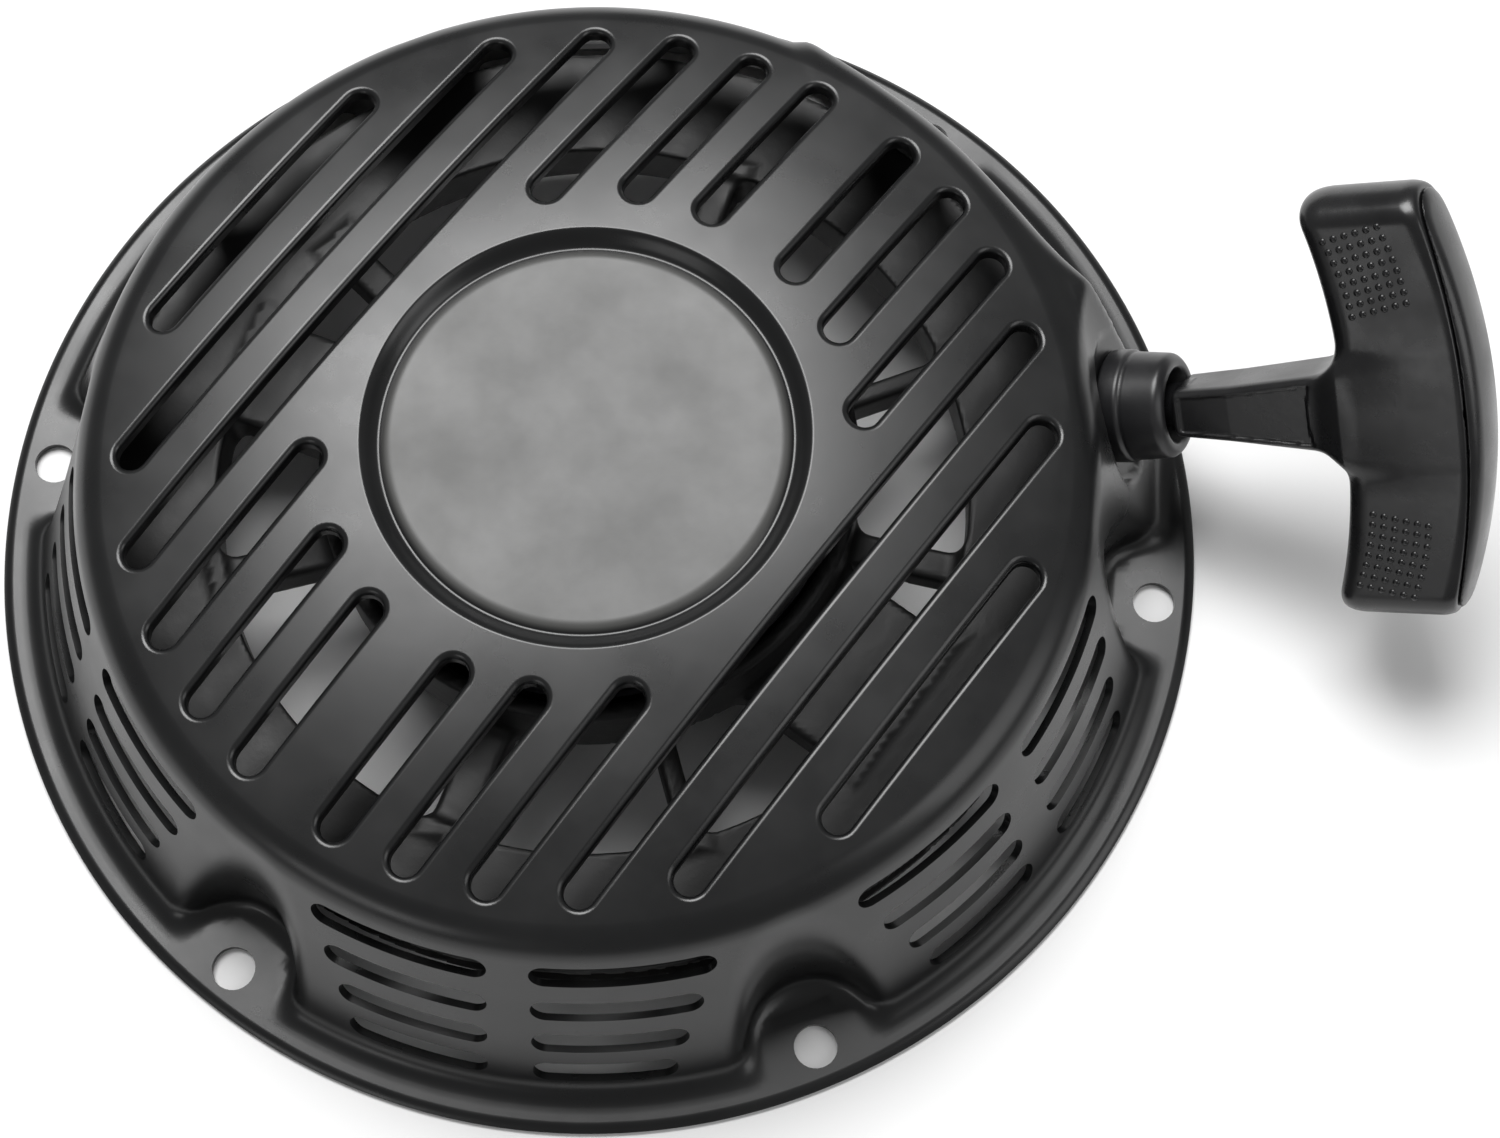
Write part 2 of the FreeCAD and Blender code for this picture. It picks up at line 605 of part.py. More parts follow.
def make_recoil_spring():
    """Flat strip wound in the cup, drawn as one closed spiral ribbon."""
    steps = 16
    count = SPRING_TURNS * steps
    grow = (SPRING_OUTER_R - SPRING_THICKNESS - SPRING_INNER_R) / count
    inner = [polar(SPRING_INNER_R + grow * i, 360 * i / steps, CUP_FLOOR_TOP_Z) for i in range(count + 1)]
    outer = [polar(SPRING_INNER_R + SPRING_THICKNESS + grow * i, 360 * i / steps, CUP_FLOOR_TOP_Z)
             for i in range(count + 1)]
    curves = []
    for points in (inner, outer):
        curve = Part.BSplineCurve()
        curve.interpolate(points)
        curves.append(curve.toShape())
    ends = [Part.makeLine(inner[0], outer[0]), Part.makeLine(inner[-1], outer[-1])]
    outline = Part.Wire(Part.sortEdges(curves + ends)[0])
    return Part.Face(outline).extrude(Vector(0, 0, SPRING_HEIGHT))


# ---- ratchet ----

def nub_at(swing):
    """Nub centre in the frame of a pawl whose pivot is on +X."""
    return Vector(PAWL_PIVOT_R, 0, 0) + polar(NUB_DISTANCE, PAWL_REST_ANGLE + swing)


def make_pawl(angle):
    length = PAWL_LENGTH
    height = PAWL_TOP_Z - PAWL_BOTTOM_Z
    z = PAWL_BOTTOM_Z
    body = Part.makeCylinder(5.5, height, Vector(0, 0, z))
    body = body.fuse(prism([(0, -5.4), (length - 1, -3.0), (length, 2.6), (0, 5.4)], z, height))
    body = body.cut(Part.makeCylinder(PAWL_PIN_R + RUNNING_GAP, 40))
    body = body.fuse(Part.makeCylinder(NUB_R, z + 1 - NUB_BOTTOM_Z, Vector(NUB_DISTANCE, 0, NUB_BOTTOM_Z)))
    return place_pawl(body, angle)


def place_pawl(shape, angle):
    shape.rotate(Vector(0, 0, 0), Vector(0, 0, 1), PAWL_REST_ANGLE)
    shape.translate(Vector(PAWL_PIVOT_R, 0, 0))
    shape.rotate(Vector(0, 0, 0), Vector(0, 0, 1), angle)
    return shape


def make_pawl_spring(angle):
    """Open wire ring round the pin below the pawl, with a straight leg along the pawl."""
    ring_r = PAWL_PIN_R - 0.4 + PAWL_WIRE_R + 0.15
    z = Vector(0, 0, PAWL_WIRE_Z)
    ring = [polar(ring_r, turned) + z for turned in (30, -45, -120, -195, -270)]
    path = [Part.Arc(ring[0], ring[1], ring[2]).toShape(), Part.Arc(ring[2], ring[3], ring[4]).toShape(),
            Part.makeLine(ring[4], ring[4] + Vector(8, 0, 0))]
    return place_pawl(sweep(path, ring[0], polar(1, -60), PAWL_WIRE_R), angle)


def make_ratchet_guide():
    plate = Part.makeCylinder(GUIDE_PLATE_R, GUIDE_PLATE_THICKNESS, Vector(0, 0, GUIDE_PLATE_Z))
    cuts = [Part.makeCylinder(STUB_R + RUNNING_GAP, 20, Vector(0, 0, 0))]
    width = 2 * (NUB_R + 0.25)
    steps = 6
    for angle in PAWL_ANGLES:
        for i in range(steps):
            ends = []
            for step in (i, i + 1):
                part = step / steps
                at = nub_at(PAWL_SWING * part)
                turn = FreeCAD.Rotation(Vector(0, 0, 1), angle - GUIDE_SWING * part)
                ends.append(turn.multVec(at))
            span = ends[1] - ends[0]
            cut = stadium(span.Length, width, 0, 30)
            cut.rotate(Vector(0, 0, 0), Vector(0, 0, 1), math.degrees(math.atan2(span.y, span.x)))
            cut.translate((ends[0] + ends[1]) * 0.5)
            cuts.append(cut)
    return plate.cut(cuts)


def make_friction_spring():
    """Open wire ring between the ratchet guide and the thrust washer."""
    ring = Part.makeTorus(7.2, 0.9, Vector(0, 0, 12.05))
    return ring.cut(Part.makeBox(12, 3, 4, Vector(2, -1.5, 10)))


save("housing", make_housing())
save("hub_plate", make_hub_plate())
save("centre_post", make_centre_post())
save("thrust_washer", make_thrust_washer())
save("set_screw", make_set_screw())
save("rope_guide", make_rope_guide())
save("rope_lead", make_rope_lead())
save("reel", make_reel())
save("recoil_spring", make_recoil_spring())
save("rope_coil", make_rope_coil())
save("reel_knot", make_reel_knot())
save("ratchet_guide", make_ratchet_guide())
save("friction_spring", make_friction_spring())
for name, angle in zip(("a", "b"), PAWL_ANGLES):
    save("pawl_" + name, make_pawl(angle))
    save("pawl_spring_" + name, make_pawl_spring(angle))
save("handle_grip", make_grip())
save("handle_cap", make_cap())
save("handle_washer", make_handle_washer())
save("handle_knot", make_handle_knot())
save("rope_run", make_rope_run())
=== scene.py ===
import json
import math

import bpy
import numpy as np
from mathutils import Matrix, Vector
from mathutils.geometry import delaunay_2d_cdt

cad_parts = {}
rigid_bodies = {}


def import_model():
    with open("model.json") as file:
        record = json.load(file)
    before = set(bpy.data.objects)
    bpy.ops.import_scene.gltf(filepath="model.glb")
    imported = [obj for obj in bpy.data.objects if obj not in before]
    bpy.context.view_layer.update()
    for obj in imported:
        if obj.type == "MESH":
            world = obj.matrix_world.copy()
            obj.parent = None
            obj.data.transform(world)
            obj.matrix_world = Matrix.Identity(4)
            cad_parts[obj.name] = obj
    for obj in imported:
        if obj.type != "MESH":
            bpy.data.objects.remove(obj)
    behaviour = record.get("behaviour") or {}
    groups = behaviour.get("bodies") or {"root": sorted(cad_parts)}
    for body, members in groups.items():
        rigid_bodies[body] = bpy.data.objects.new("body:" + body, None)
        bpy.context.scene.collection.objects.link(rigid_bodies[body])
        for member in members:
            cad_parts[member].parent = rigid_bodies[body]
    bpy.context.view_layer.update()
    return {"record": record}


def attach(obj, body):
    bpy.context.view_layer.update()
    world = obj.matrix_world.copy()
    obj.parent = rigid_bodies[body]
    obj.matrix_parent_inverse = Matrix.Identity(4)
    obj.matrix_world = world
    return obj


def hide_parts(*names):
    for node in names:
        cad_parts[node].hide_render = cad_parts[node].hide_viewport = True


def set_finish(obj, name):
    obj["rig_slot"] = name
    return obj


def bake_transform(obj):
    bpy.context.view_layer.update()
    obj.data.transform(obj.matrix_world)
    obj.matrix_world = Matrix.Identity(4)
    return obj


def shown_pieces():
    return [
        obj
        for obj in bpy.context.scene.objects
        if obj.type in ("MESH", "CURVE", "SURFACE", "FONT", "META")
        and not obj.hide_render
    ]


# Looks of a recoil starter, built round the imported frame. Shapes are worked out in
# millimetres in the row frame and written to meshes in metres.
MM = 0.001

# ---- pull direction and collar, as in the frame ----
YAW = math.radians(-4.35)
PITCH = math.radians(28.0)
ROLL = math.radians(45.0)
COLLAR_MOUTH = np.array([108.6, 30.1, 30.0])
PULL = np.array([math.cos(YAW) * math.cos(PITCH), math.sin(YAW) * math.cos(PITCH), math.sin(PITCH)])
LEVEL = np.array([-math.sin(YAW), math.cos(YAW), 0.0])
RISE = np.cross(PULL, LEVEL)
BAR = LEVEL * math.cos(ROLL) + RISE * math.sin(ROLL)
FACE = RISE * math.cos(ROLL) - LEVEL * math.sin(ROLL)
SEAT = COLLAR_MOUTH - PULL * 13.0

# ---- shroud profile ----
DISC_Z = 52.45
DISC_R = 36.8
GROOVE_Z = 51.5
CROWN_START_R = 41.2
CROWN_TOP = 55.96
CROWN_DROP = 7.05 / 80 ** 2
SHOULDER_START_R = 88.5
SHOULDER_R = 8.4
WALL_SLOPE = 0.3826
SHEET_Z = 1.5
FLANGE_R = 118.0
BOLT_CIRCLE_R = 110.3
BOLT_HOLE_R = 4.1
POCKET_R = 13.0
TOP_SHEET = 1.1
WALL_SHEET = 1.5

# ---- slots ----
SLOT_ANGLE = math.radians(60)
SLOT_HALF = 2.85
LIP_ROLL = 1.3
SLOT_FIRST = 9.75
SLOT_PITCH = 13.7
SLOT_OUTER_R = 83.1
SLOT_INNER_R = 50.6
SIDE_HALF = 2.8
# side slots as height, then near and far end in degrees from the middle of each sixth
SIDE_ROWS = [(38.0, 2.2, 22.0), (27.4, 2.2, 20.0), (17.2, 2.2, 18.0), (7.8, 2.2, 16.5)]

# ---- rope boss: plan outline at mid height, its draft and back, the collar's recess and hole ----
BOSS_TOP_Z = 44.3
BOSS_SIDES = [((78.7, 56.5), (101.8, 39.5)), ((103.2, 38.0), (106.2, 30.0)), ((106.2, 20.0), (98.0, 9.0))]
BOSS_MID_Z = 35.0
BOSS_DRAFT = 0.13
BOSS_OUT = (0.92, 0.39)
BOSS_BACK = 62
COLLAR_RECESS_R = 14.5
ROPE_HOLE_R = 8.0

# ---- fillets and rounded edges of the shroud ----
BOSS_FILLET = 4.0
BOSS_ROUND = 4.5
POCKET_ROUND = 4.5
FLANGE_FILLET = 3.5
RIM_ROLL = 0.9

# ---- spacing of the shroud's mesh ----
TOP_STEP = 2.2
GROOVE_STEP = 0.35
WALL_STEP = 1.15
CLEAR_OF_EDGES = 0.75
DISC_RING_COUNT = 420
RIM_COUNT = 560

for leftover in list(bpy.data.objects):
    bpy.data.objects.remove(leftover)
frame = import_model()


# ---- small helpers ----

def smooth_max(a, b, width):
    """The larger of two distances, with the edge between them rounded over width."""
    share = np.clip(0.5 + 0.5 * (a - b) / width, 0, 1)
    return b + (a - b) * share + width * share * (1 - share)


def smooth_min(a, b, width):
    """The smaller of two distances, with the corner between them filled over width."""
    return -smooth_max(-a, -b, width)


def smooth_step(x, low, high):
    """Rises smoothly from 0 at low to 1 at high."""
    t = np.clip((x - low) / (high - low), 0, 1)
    return t * t * (3 - 2 * t)


def gradient(field, points, step=0.02):
    """Slope of a field at each point, by central differences."""
    slope = np.zeros_like(points)
    for axis in range(3):
        shift = np.zeros(3)
        shift[axis] = step
        slope[:, axis] = (field(points + shift) - field(points - shift)) / (2 * step)
    return slope


def unit(vectors):
    return vectors / np.maximum(np.linalg.norm(vectors, axis=-1, keepdims=True), 1e-9)


def make_object(name, points, faces, body, slot, corner_normals=None):
    """A smooth-shaded piece from points in millimetres, riding a body if one is given."""
    mesh = bpy.data.meshes.new(name)
    mesh.from_pydata((np.asarray(points) * MM).tolist(), [], faces)
    mesh.polygons.foreach_set("use_smooth", [True] * len(mesh.polygons))
    if corner_normals is not None:
        mesh.normals_split_custom_set(np.asarray(corner_normals).tolist())
    obj = bpy.data.objects.new(name, mesh)
    bpy.context.scene.collection.objects.link(obj)
    if body is not None:
        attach(obj, body)
    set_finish(obj, slot)
    return obj


class Sheet:
    """Points, faces and corner normals of a mesh while it is put together."""

    def __init__(self):
        self.points = np.zeros((0, 3))
        self.faces = []
        self.normals = []

    def add_points(self, points):
        first = len(self.points)
        self.points = np.concatenate([self.points, points])
        return np.arange(first, first + len(points))

    def add_faces(self, faces, vertex_normals):
        self.faces += [tuple(int(i) for i in face) for face in faces]
        self.normals += [vertex_normals[i] for face in faces for i in face]

    def add_strip(self, ring_a, ring_b, normals_a, normals_b):
        """Quads between two closed rings, turned to face along their normals."""
        p = self.points
        across = np.cross(p[ring_a[1]] - p[ring_a[0]], p[ring_b[0]] - p[ring_a[0]])
        flip = across @ normals_a[0] < 0
        for i in range(len(ring_a)):
            j = (i + 1) % len(ring_a)
            corners = [(ring_a[i], normals_a[i]), (ring_a[j], normals_a[j]),
                       (ring_b[j], normals_b[j]), (ring_b[i], normals_b[i])]
            if flip:
                corners.reverse()
            self.faces.append(tuple(int(c[0]) for c in corners))
            self.normals += [c[1] for c in corners]

    def add_cut_edge(self, ring_a, ring_b, towards):
        """Flat-shaded quads between two rings; towards is a direction they should face."""
        p = self.points
        after = np.roll(np.arange(len(ring_a)), -1)
        side = np.cross(p[ring_a[after]] - p[ring_a], p[ring_b] - p[ring_a])
        side = unit(side)
        side *= np.where(np.sum(side * towards, axis=1) < 0, -1, 1)[:, None]
        self.add_strip(ring_a, ring_b, side, side)


# ---- shroud: one field for the outside skin ----

def top_height(r):
    """Height of the top: pressed disc, groove round it, then the crowned dome."""
    crown = CROWN_TOP - CROWN_DROP * np.maximum(r, CROWN_START_R) ** 2
    z = DISC_Z + (GROOVE_Z - DISC_Z) * smooth_step(r, DISC_R - 0.2, DISC_R + 0.7)
    return z + (crown - GROOVE_Z) * smooth_step(r, DISC_R + 0.9, CROWN_START_R)


def top_slope(r):
    return (top_height(r + 0.01) - top_height(r - 0.01)) / 0.02


EDGE_SLOPE = float(top_slope(np.array(SHOULDER_START_R)))
EDGE_TILT = math.atan(-EDGE_SLOPE)
WALL_TILT = math.atan(1 / WALL_SLOPE)
SHOULDER_C = (SHOULDER_START_R - SHOULDER_R * math.sin(EDGE_TILT),
              float(top_height(np.array(SHOULDER_START_R))) - SHOULDER_R * math.cos(EDGE_TILT))
WALL_START = (SHOULDER_C[0] + SHOULDER_R * math.sin(WALL_TILT),
              SHOULDER_C[1] + SHOULDER_R * math.cos(WALL_TILT))
WALL_BASE_R = WALL_START[0] + WALL_SLOPE * WALL_START[1]
FOOT_R = WALL_BASE_R - WALL_SLOPE * SHEET_Z

# lengths along the profile, used as the radius of the flat pattern
WALL_START_S = SHOULDER_START_R + SHOULDER_R * (WALL_TILT - EDGE_TILT)
FOOT_S = WALL_START_S + (WALL_START[1] - SHEET_Z) * math.sqrt(1 + WALL_SLOPE ** 2)
RIM_S = FOOT_S + FLANGE_R - FOOT_R


def profile(s):
    """Radius, height and tilt from vertical of the plain profile at length s."""
    arc = EDGE_TILT + (s - SHOULDER_START_R) / SHOULDER_R
    share = (s - WALL_START_S) / (FOOT_S - WALL_START_S)
    r = np.where(s < SHOULDER_START_R, s, SHOULDER_C[0] + SHOULDER_R * np.sin(arc))
    z = np.where(s < SHOULDER_START_R, top_height(s), SHOULDER_C[1] + SHOULDER_R * np.cos(arc))
    r = np.where(s > WALL_START_S, WALL_START[0] + share * (FOOT_R - WALL_START[0]), r)
    z = np.where(s > WALL_START_S, WALL_START[1] + share * (SHEET_Z - WALL_START[1]), z)
    r = np.where(s > FOOT_S, FOOT_R + s - FOOT_S, r)
    z = np.where(s > FOOT_S, SHEET_Z, z)
    tilt = np.where(s < SHOULDER_START_R, np.arctan(-top_slope(s)), np.minimum(arc, WALL_TILT))
    tilt = tilt * (1 - smooth_step(s, FOOT_S - 9, FOOT_S + 5))
    return r, z, tilt


def plain_distance(r, z):
    """Distance outside the plain dome and wall."""
    vr = r - SHOULDER_C[0]
    vz = z - SHOULDER_C[1]
    tilt = np.arctan2(vr, vz)
    wall = (r - WALL_BASE_R + WALL_SLOPE * z) / math.sqrt(1 + WALL_SLOPE ** 2)
    top = (z - top_height(r)) / np.sqrt(1 + top_slope(r) ** 2)
    round_part = np.hypot(vr, vz) - SHOULDER_R
    return np.where((tilt > WALL_TILT) | (vz < 0), wall, np.where(tilt < EDGE_TILT, top, round_part))


def boss_distance(p):
    """Distance outside the rope boss that juts from the wall."""
    distance = p[:, 2] - BOSS_TOP_Z
    for (ax, ay), (bx, by) in BOSS_SIDES:
        length = math.hypot(bx - ax, by - ay)
        nx = -(by - ay) / length
        ny = (bx - ax) / length
        if nx * ax + ny * ay < 0:
            nx, ny = -nx, -ny
        side = nx * (p[:, 0] - ax) + ny * (p[:, 1] - ay) + BOSS_DRAFT * (p[:, 2] - BOSS_MID_Z)
        distance = smooth_max(distance, side, BOSS_ROUND)
    behind = BOSS_BACK - (p[:, 0] * BOSS_OUT[0] + p[:, 1] * BOSS_OUT[1])
    distance = smooth_max(distance, behind, 3.0)
    return smooth_max(distance, (p - SEAT) @ PULL, 1.2)


def skin_field(p):
    """Below zero inside the shroud's outer skin, pockets, boss and flange included."""
    r = np.hypot(p[:, 0], p[:, 1])
    distance = smooth_min(plain_distance(r, p[:, 2]), boss_distance(p), BOSS_FILLET)
    turn = np.arctan2(p[:, 1], p[:, 0])
    nearest = np.round(turn / (math.pi / 3)) * (math.pi / 3)
    from_bolt_x = p[:, 0] - BOLT_CIRCLE_R * np.cos(nearest)
    from_bolt_y = p[:, 1] - BOLT_CIRCLE_R * np.sin(nearest)
    distance = smooth_max(distance, POCKET_R - np.hypot(from_bolt_x, from_bolt_y), POCKET_ROUND)
    along = (p - SEAT) @ PULL
    off = np.linalg.norm((p - SEAT) - along[:, None] * PULL, axis=1)
    recess = smooth_max(off - COLLAR_RECESS_R, -along, 1.0)
    distance = smooth_max(distance, -recess, 1.5)
    return smooth_min(distance, p[:, 2] - SHEET_Z, FLANGE_FILLET)


def lift(flat):
    """Flat pattern points to points on the skin and their normals."""
    s = np.hypot(flat[:, 0], flat[:, 1])
    turn = np.arctan2(flat[:, 1], flat[:, 0])
    r, z, tilt = profile(s)
    start = np.stack([r * np.cos(turn), r * np.sin(turn), z], 1)
    ray = np.stack([np.sin(tilt) * np.cos(turn), np.sin(tilt) * np.sin(turn), np.cos(tilt)], 1)
    points = start.copy()
    side = s > SHOULDER_START_R - 10
    points[side] = first_hit(start[side], ray[side])
    normals = unit(gradient(skin_field, points))
    rolled = smooth_step(s, RIM_S - 2.0, RIM_S)
    points[:, 2] -= RIM_ROLL * rolled ** 2
    outward = np.stack([np.cos(turn), np.sin(turn), np.zeros(len(s))], 1)
    normals = unit(normals + outward * (RIM_ROLL * rolled)[:, None])
    return points, normals


def first_hit(start, ray, reach=20.0, steps=61):
    """Coming in from outside along each ray, the first point inside the field."""
    t_out = np.full(len(start), reach)
    t_in = np.full(len(start), np.nan)
    for t in np.linspace(reach, -reach, steps):
        value = skin_field(start + ray * t)
        fresh = np.isnan(t_in)
        t_in[fresh & (value < 0)] = t
        t_out[fresh & (value >= 0)] = t
    t_in = np.where(np.isnan(t_in), t_out - 0.01, t_in)
    for _ in range(16):
        middle = (t_in + t_out) / 2
        value = skin_field(start + ray * middle[:, None])
        t_in = np.where(value < 0, middle, t_in)
        t_out = np.where(value < 0, t_out, middle)
    return start + ray * t_in[:, None]


def flatten(points):
    """Points near the skin to the flat pattern, by the profile ray they lie on."""
    table = np.linspace(SHOULDER_START_R, RIM_S, 1500)
    r, z, tilt = profile(table)
    turn = np.arctan2(points[:, 1], points[:, 0])
    pr = np.hypot(points[:, 0], points[:, 1])[:, None] - r
    pz = points[:, 2][:, None] - z
    miss = np.abs(pr * np.cos(tilt) - pz * np.sin(tilt))
    miss += 0.02 * np.abs(pr * np.sin(tilt) + pz * np.cos(tilt))
    s = table[np.argmin(miss, axis=1)]
    return np.stack([s * np.cos(turn), s * np.sin(turn)], 1)


# ---- openings in the flat pattern ----

def stadium_loop(start, end, half, step):
    """Points round a slot from its two end centres, and the outward direction at each."""
    start = np.array(start, float)
    end = np.array(end, float)
    along = unit(end - start)
    across = np.array([-along[1], along[0]])
    n_side = max(2, int(np.linalg.norm(end - start) / step))
    n_end = 14
    points, outward = [], []
    for centre, other, sign in ((end, start, 1), (start, end, -1)):
        for i in range(n_end):
            a = math.pi * (i / n_end - 0.5)
            d = sign * (along * math.cos(a) + across * math.sin(a))
            points.append(centre + d * half)
            outward.append(d)
        for i in range(n_side):
            d = sign * across
            points.append(centre + (other - centre) * (i / n_side) + d * half)
            outward.append(d)
    return np.array(points), np.array(outward)


def top_slots():
    """End centres of the slanted slots; the inner ones stop short of the disc."""
    spans = []
    for side in (-1, 1):
        for i in range(6):
            offset = side * (SLOT_FIRST + SLOT_PITCH * i)
            reach = math.sqrt(SLOT_OUTER_R ** 2 - offset ** 2)
            if i < 3:
                gap = math.sqrt(SLOT_INNER_R ** 2 - offset ** 2)
                spans += [(offset, -reach, -gap), (offset, gap, reach)]
            else:
                spans.append((offset, -reach, reach))
    c, s = math.cos(SLOT_ANGLE), math.sin(SLOT_ANGLE)
    return [((a * c - o * s, a * s + o * c), (b * c - o * s, b * s + o * c)) for o, a, b in spans]


def side_slot_loops():
    """Four rows of slots in each sixth of the wall; the boss takes half of one."""
    loops = []
    for sector in range(6):
        for z, near, far in SIDE_ROWS:
            for side in (-1, 1):
                if sector == 0 and side < 0:
                    continue
                low, high = sorted((side * near, side * far))
                loops.append(side_slot_loop(z, 30 + 60 * sector + low, 30 + 60 * sector + high))
    return loops


def side_slot_loop(z, from_angle, to_angle):
    """One side slot, unrolled onto the flat pattern."""
    r = WALL_BASE_R - WALL_SLOPE * z
    inset = math.degrees(SIDE_HALF / r)
    a = math.radians(from_angle + inset) * r
    b = math.radians(to_angle - inset) * r
    loop, _ = stadium_loop((a, z), (b, z), SIDE_HALF, 1.6)
    s = FOOT_S - (loop[:, 1] - SHEET_Z) * math.sqrt(1 + WALL_SLOPE ** 2)
    return np.stack([s * np.cos(loop[:, 0] / r), s * np.sin(loop[:, 0] / r)], 1)


def round_hole_loop(centre, axis_a, axis_b, radius, count):
    """A round hole in space, unrolled onto the flat pattern."""
    turns = np.arange(count) * 2 * math.pi / count
    ring = centre + radius * (np.cos(turns)[:, None] * axis_a + np.sin(turns)[:, None] * axis_b)
    return flatten(ring)


def inside_loop(points, loop):
    """Which points are inside a closed loop."""
    result = np.zeros(len(points), bool)
    near = np.all((points > loop.min(0) - 3) & (points < loop.max(0) + 3), axis=1)
    x, y = points[near, 0], points[near, 1]
    odd = np.zeros(len(x), bool)
    for (ax, ay), (bx, by) in zip(loop, np.roll(loop, -1, axis=0)):
        crosses = (ay > y) != (by > y)
        with np.errstate(divide="ignore", invalid="ignore"):
            at = ax + (y - ay) * (bx - ax) / (by - ay)
        odd ^= crosses & (x < at)
    result[near] = odd
    return result


def near_loop(points, loop, gap):
    """Which points are closer than gap to a loop's own points."""
    result = np.zeros(len(points), bool)
    near = np.where(np.all((points > loop.min(0) - gap) & (points < loop.max(0) + gap), axis=1))[0]
    if len(near):
        away = points[near][:, None, :] - loop[None, :, :]
        result[near] = np.min(np.sum(away ** 2, axis=2), axis=1) < gap ** 2
    return result


def pattern_grid():
    """Rings of points over the flat pattern, closer together on the wall and in the groove."""
    points = [np.zeros((1, 2))]
    s = 0.0
    turned = 0.0
    while s < RIM_S - 0.5:
        wall = s > SHOULDER_START_R - 3
        groove = DISC_R - 1.5 < s < CROWN_START_R + 0.8
        s = min(s + (WALL_STEP if wall else GROOVE_STEP if groove else TOP_STEP), RIM_S)
        r, _, _ = profile(np.array(s))
        count = int(2 * math.pi * float(r) / (1.3 if wall else 2.0))
        if DISC_R - 3 < s < CROWN_START_R + 3:
            count = DISC_RING_COUNT
        turned += 0.5
        turns = (np.arange(count) + turned) * 2 * math.pi / count
        points.append(np.stack([s * np.cos(turns), s * np.sin(turns)], 1))
    turns = np.arange(RIM_COUNT) * 2 * math.pi / RIM_COUNT
    rim = np.stack([RIM_S * np.cos(turns), RIM_S * np.sin(turns)], 1)
    inner = np.concatenate(points)
    return inner[np.hypot(inner[:, 0], inner[:, 1]) < RIM_S - 0.6], rim


def build_shroud():
    """The whole formed sheet: both skins, slot lips and the cut edges."""
    slots = top_slots()
    slot_half = SLOT_HALF + LIP_ROLL
    slot_loops = [stadium_loop(a, b, slot_half, 1.8)[0] for a, b in slots]
    plain_loops = side_slot_loops()
    for i in range(6):
        turn = i * math.pi / 3
        centre = np.array([BOLT_CIRCLE_R * math.cos(turn), BOLT_CIRCLE_R * math.sin(turn), SHEET_Z])
        east = np.array([1.0, 0, 0])
        north = np.array([0, 1.0, 0])
        plain_loops.append(round_hole_loop(centre, east, north, BOLT_HOLE_R, 28))
    plain_loops.append(round_hole_loop(SEAT, BAR, FACE, ROPE_HOLE_R, 32))
    inner, rim = pattern_grid()
    keep = np.ones(len(inner), bool)
    for loop in slot_loops + plain_loops:
        keep &= ~(inside_loop(inner, loop) | near_loop(inner, loop, CLEAR_OF_EDGES))
    loops = [rim] + slot_loops + plain_loops
    points, faces, loop_ids = triangulate(inner[keep], loops)
    surface, normals = lift(points)
    sheet = Sheet()
    s = np.hypot(points[:, 0], points[:, 1])
    thick = TOP_SHEET + (WALL_SHEET - TOP_SHEET) * smooth_step(s, SHOULDER_START_R, WALL_START_S)
    deep = surface - normals * thick[:, None]
    deep[:, 2] = np.maximum(deep[:, 2], np.where(s > WALL_START_S, 0.0, -99.0))
    sheet.add_points(surface)
    under = sheet.add_points(deep)
    both = np.concatenate([normals, -normals])
    sheet.add_faces(faces, both)
    sheet.add_faces(faces[:, ::-1] + len(surface), both)
    for ring, (a, b) in zip(loop_ids[1:], slots):
        add_lip(sheet, ring, under[ring], normals[ring], a, b)
    for ring in [loop_ids[0]] + loop_ids[1 + len(slots):]:
        middle = surface[ring].mean(axis=0)
        towards = surface[ring] - middle if ring is loop_ids[0] else middle - surface[ring]
        sheet.add_cut_edge(ring, under[ring], towards)
    return sheet


def add_lip(sheet, ring, under_ring, ring_normals, a, b):
    """Rolls the edge of a top slot down into a short upright lip."""
    bend = [(math.radians(t), 0.0) for t in (22.5, 45, 67.5, 90)]
    upright = [(math.pi / 2, drop) for drop in (0.8, 1.7)]
    upper, lower, normals = ring, under_ring, ring_normals
    for roll, drop in bend + upright:
        loop, outward = stadium_loop(a, b, SLOT_HALF + LIP_ROLL * (1 - math.sin(roll)), 1.8)
        r = np.hypot(loop[:, 0], loop[:, 1])
        height = top_height(r) - LIP_ROLL * (1 - math.cos(roll)) - drop
        points = np.column_stack([loop, height])
        tilt = top_slope(r)
        up = unit(np.column_stack([-loop * (tilt / r)[:, None], np.ones(len(r))]))
        side = np.column_stack([-outward, np.zeros(len(r))])
        row_normals = unit(up * math.cos(roll) + side * math.sin(roll))
        next_upper = sheet.add_points(points)
        next_lower = sheet.add_points(points - row_normals * TOP_SHEET)
        sheet.add_strip(upper, next_upper, normals, row_normals)
        sheet.add_strip(lower, next_lower, -normals, -row_normals)
        upper, lower, normals = next_upper, next_lower, row_normals
    sheet.add_cut_edge(upper, lower, np.array([0, 0, -1.0]))


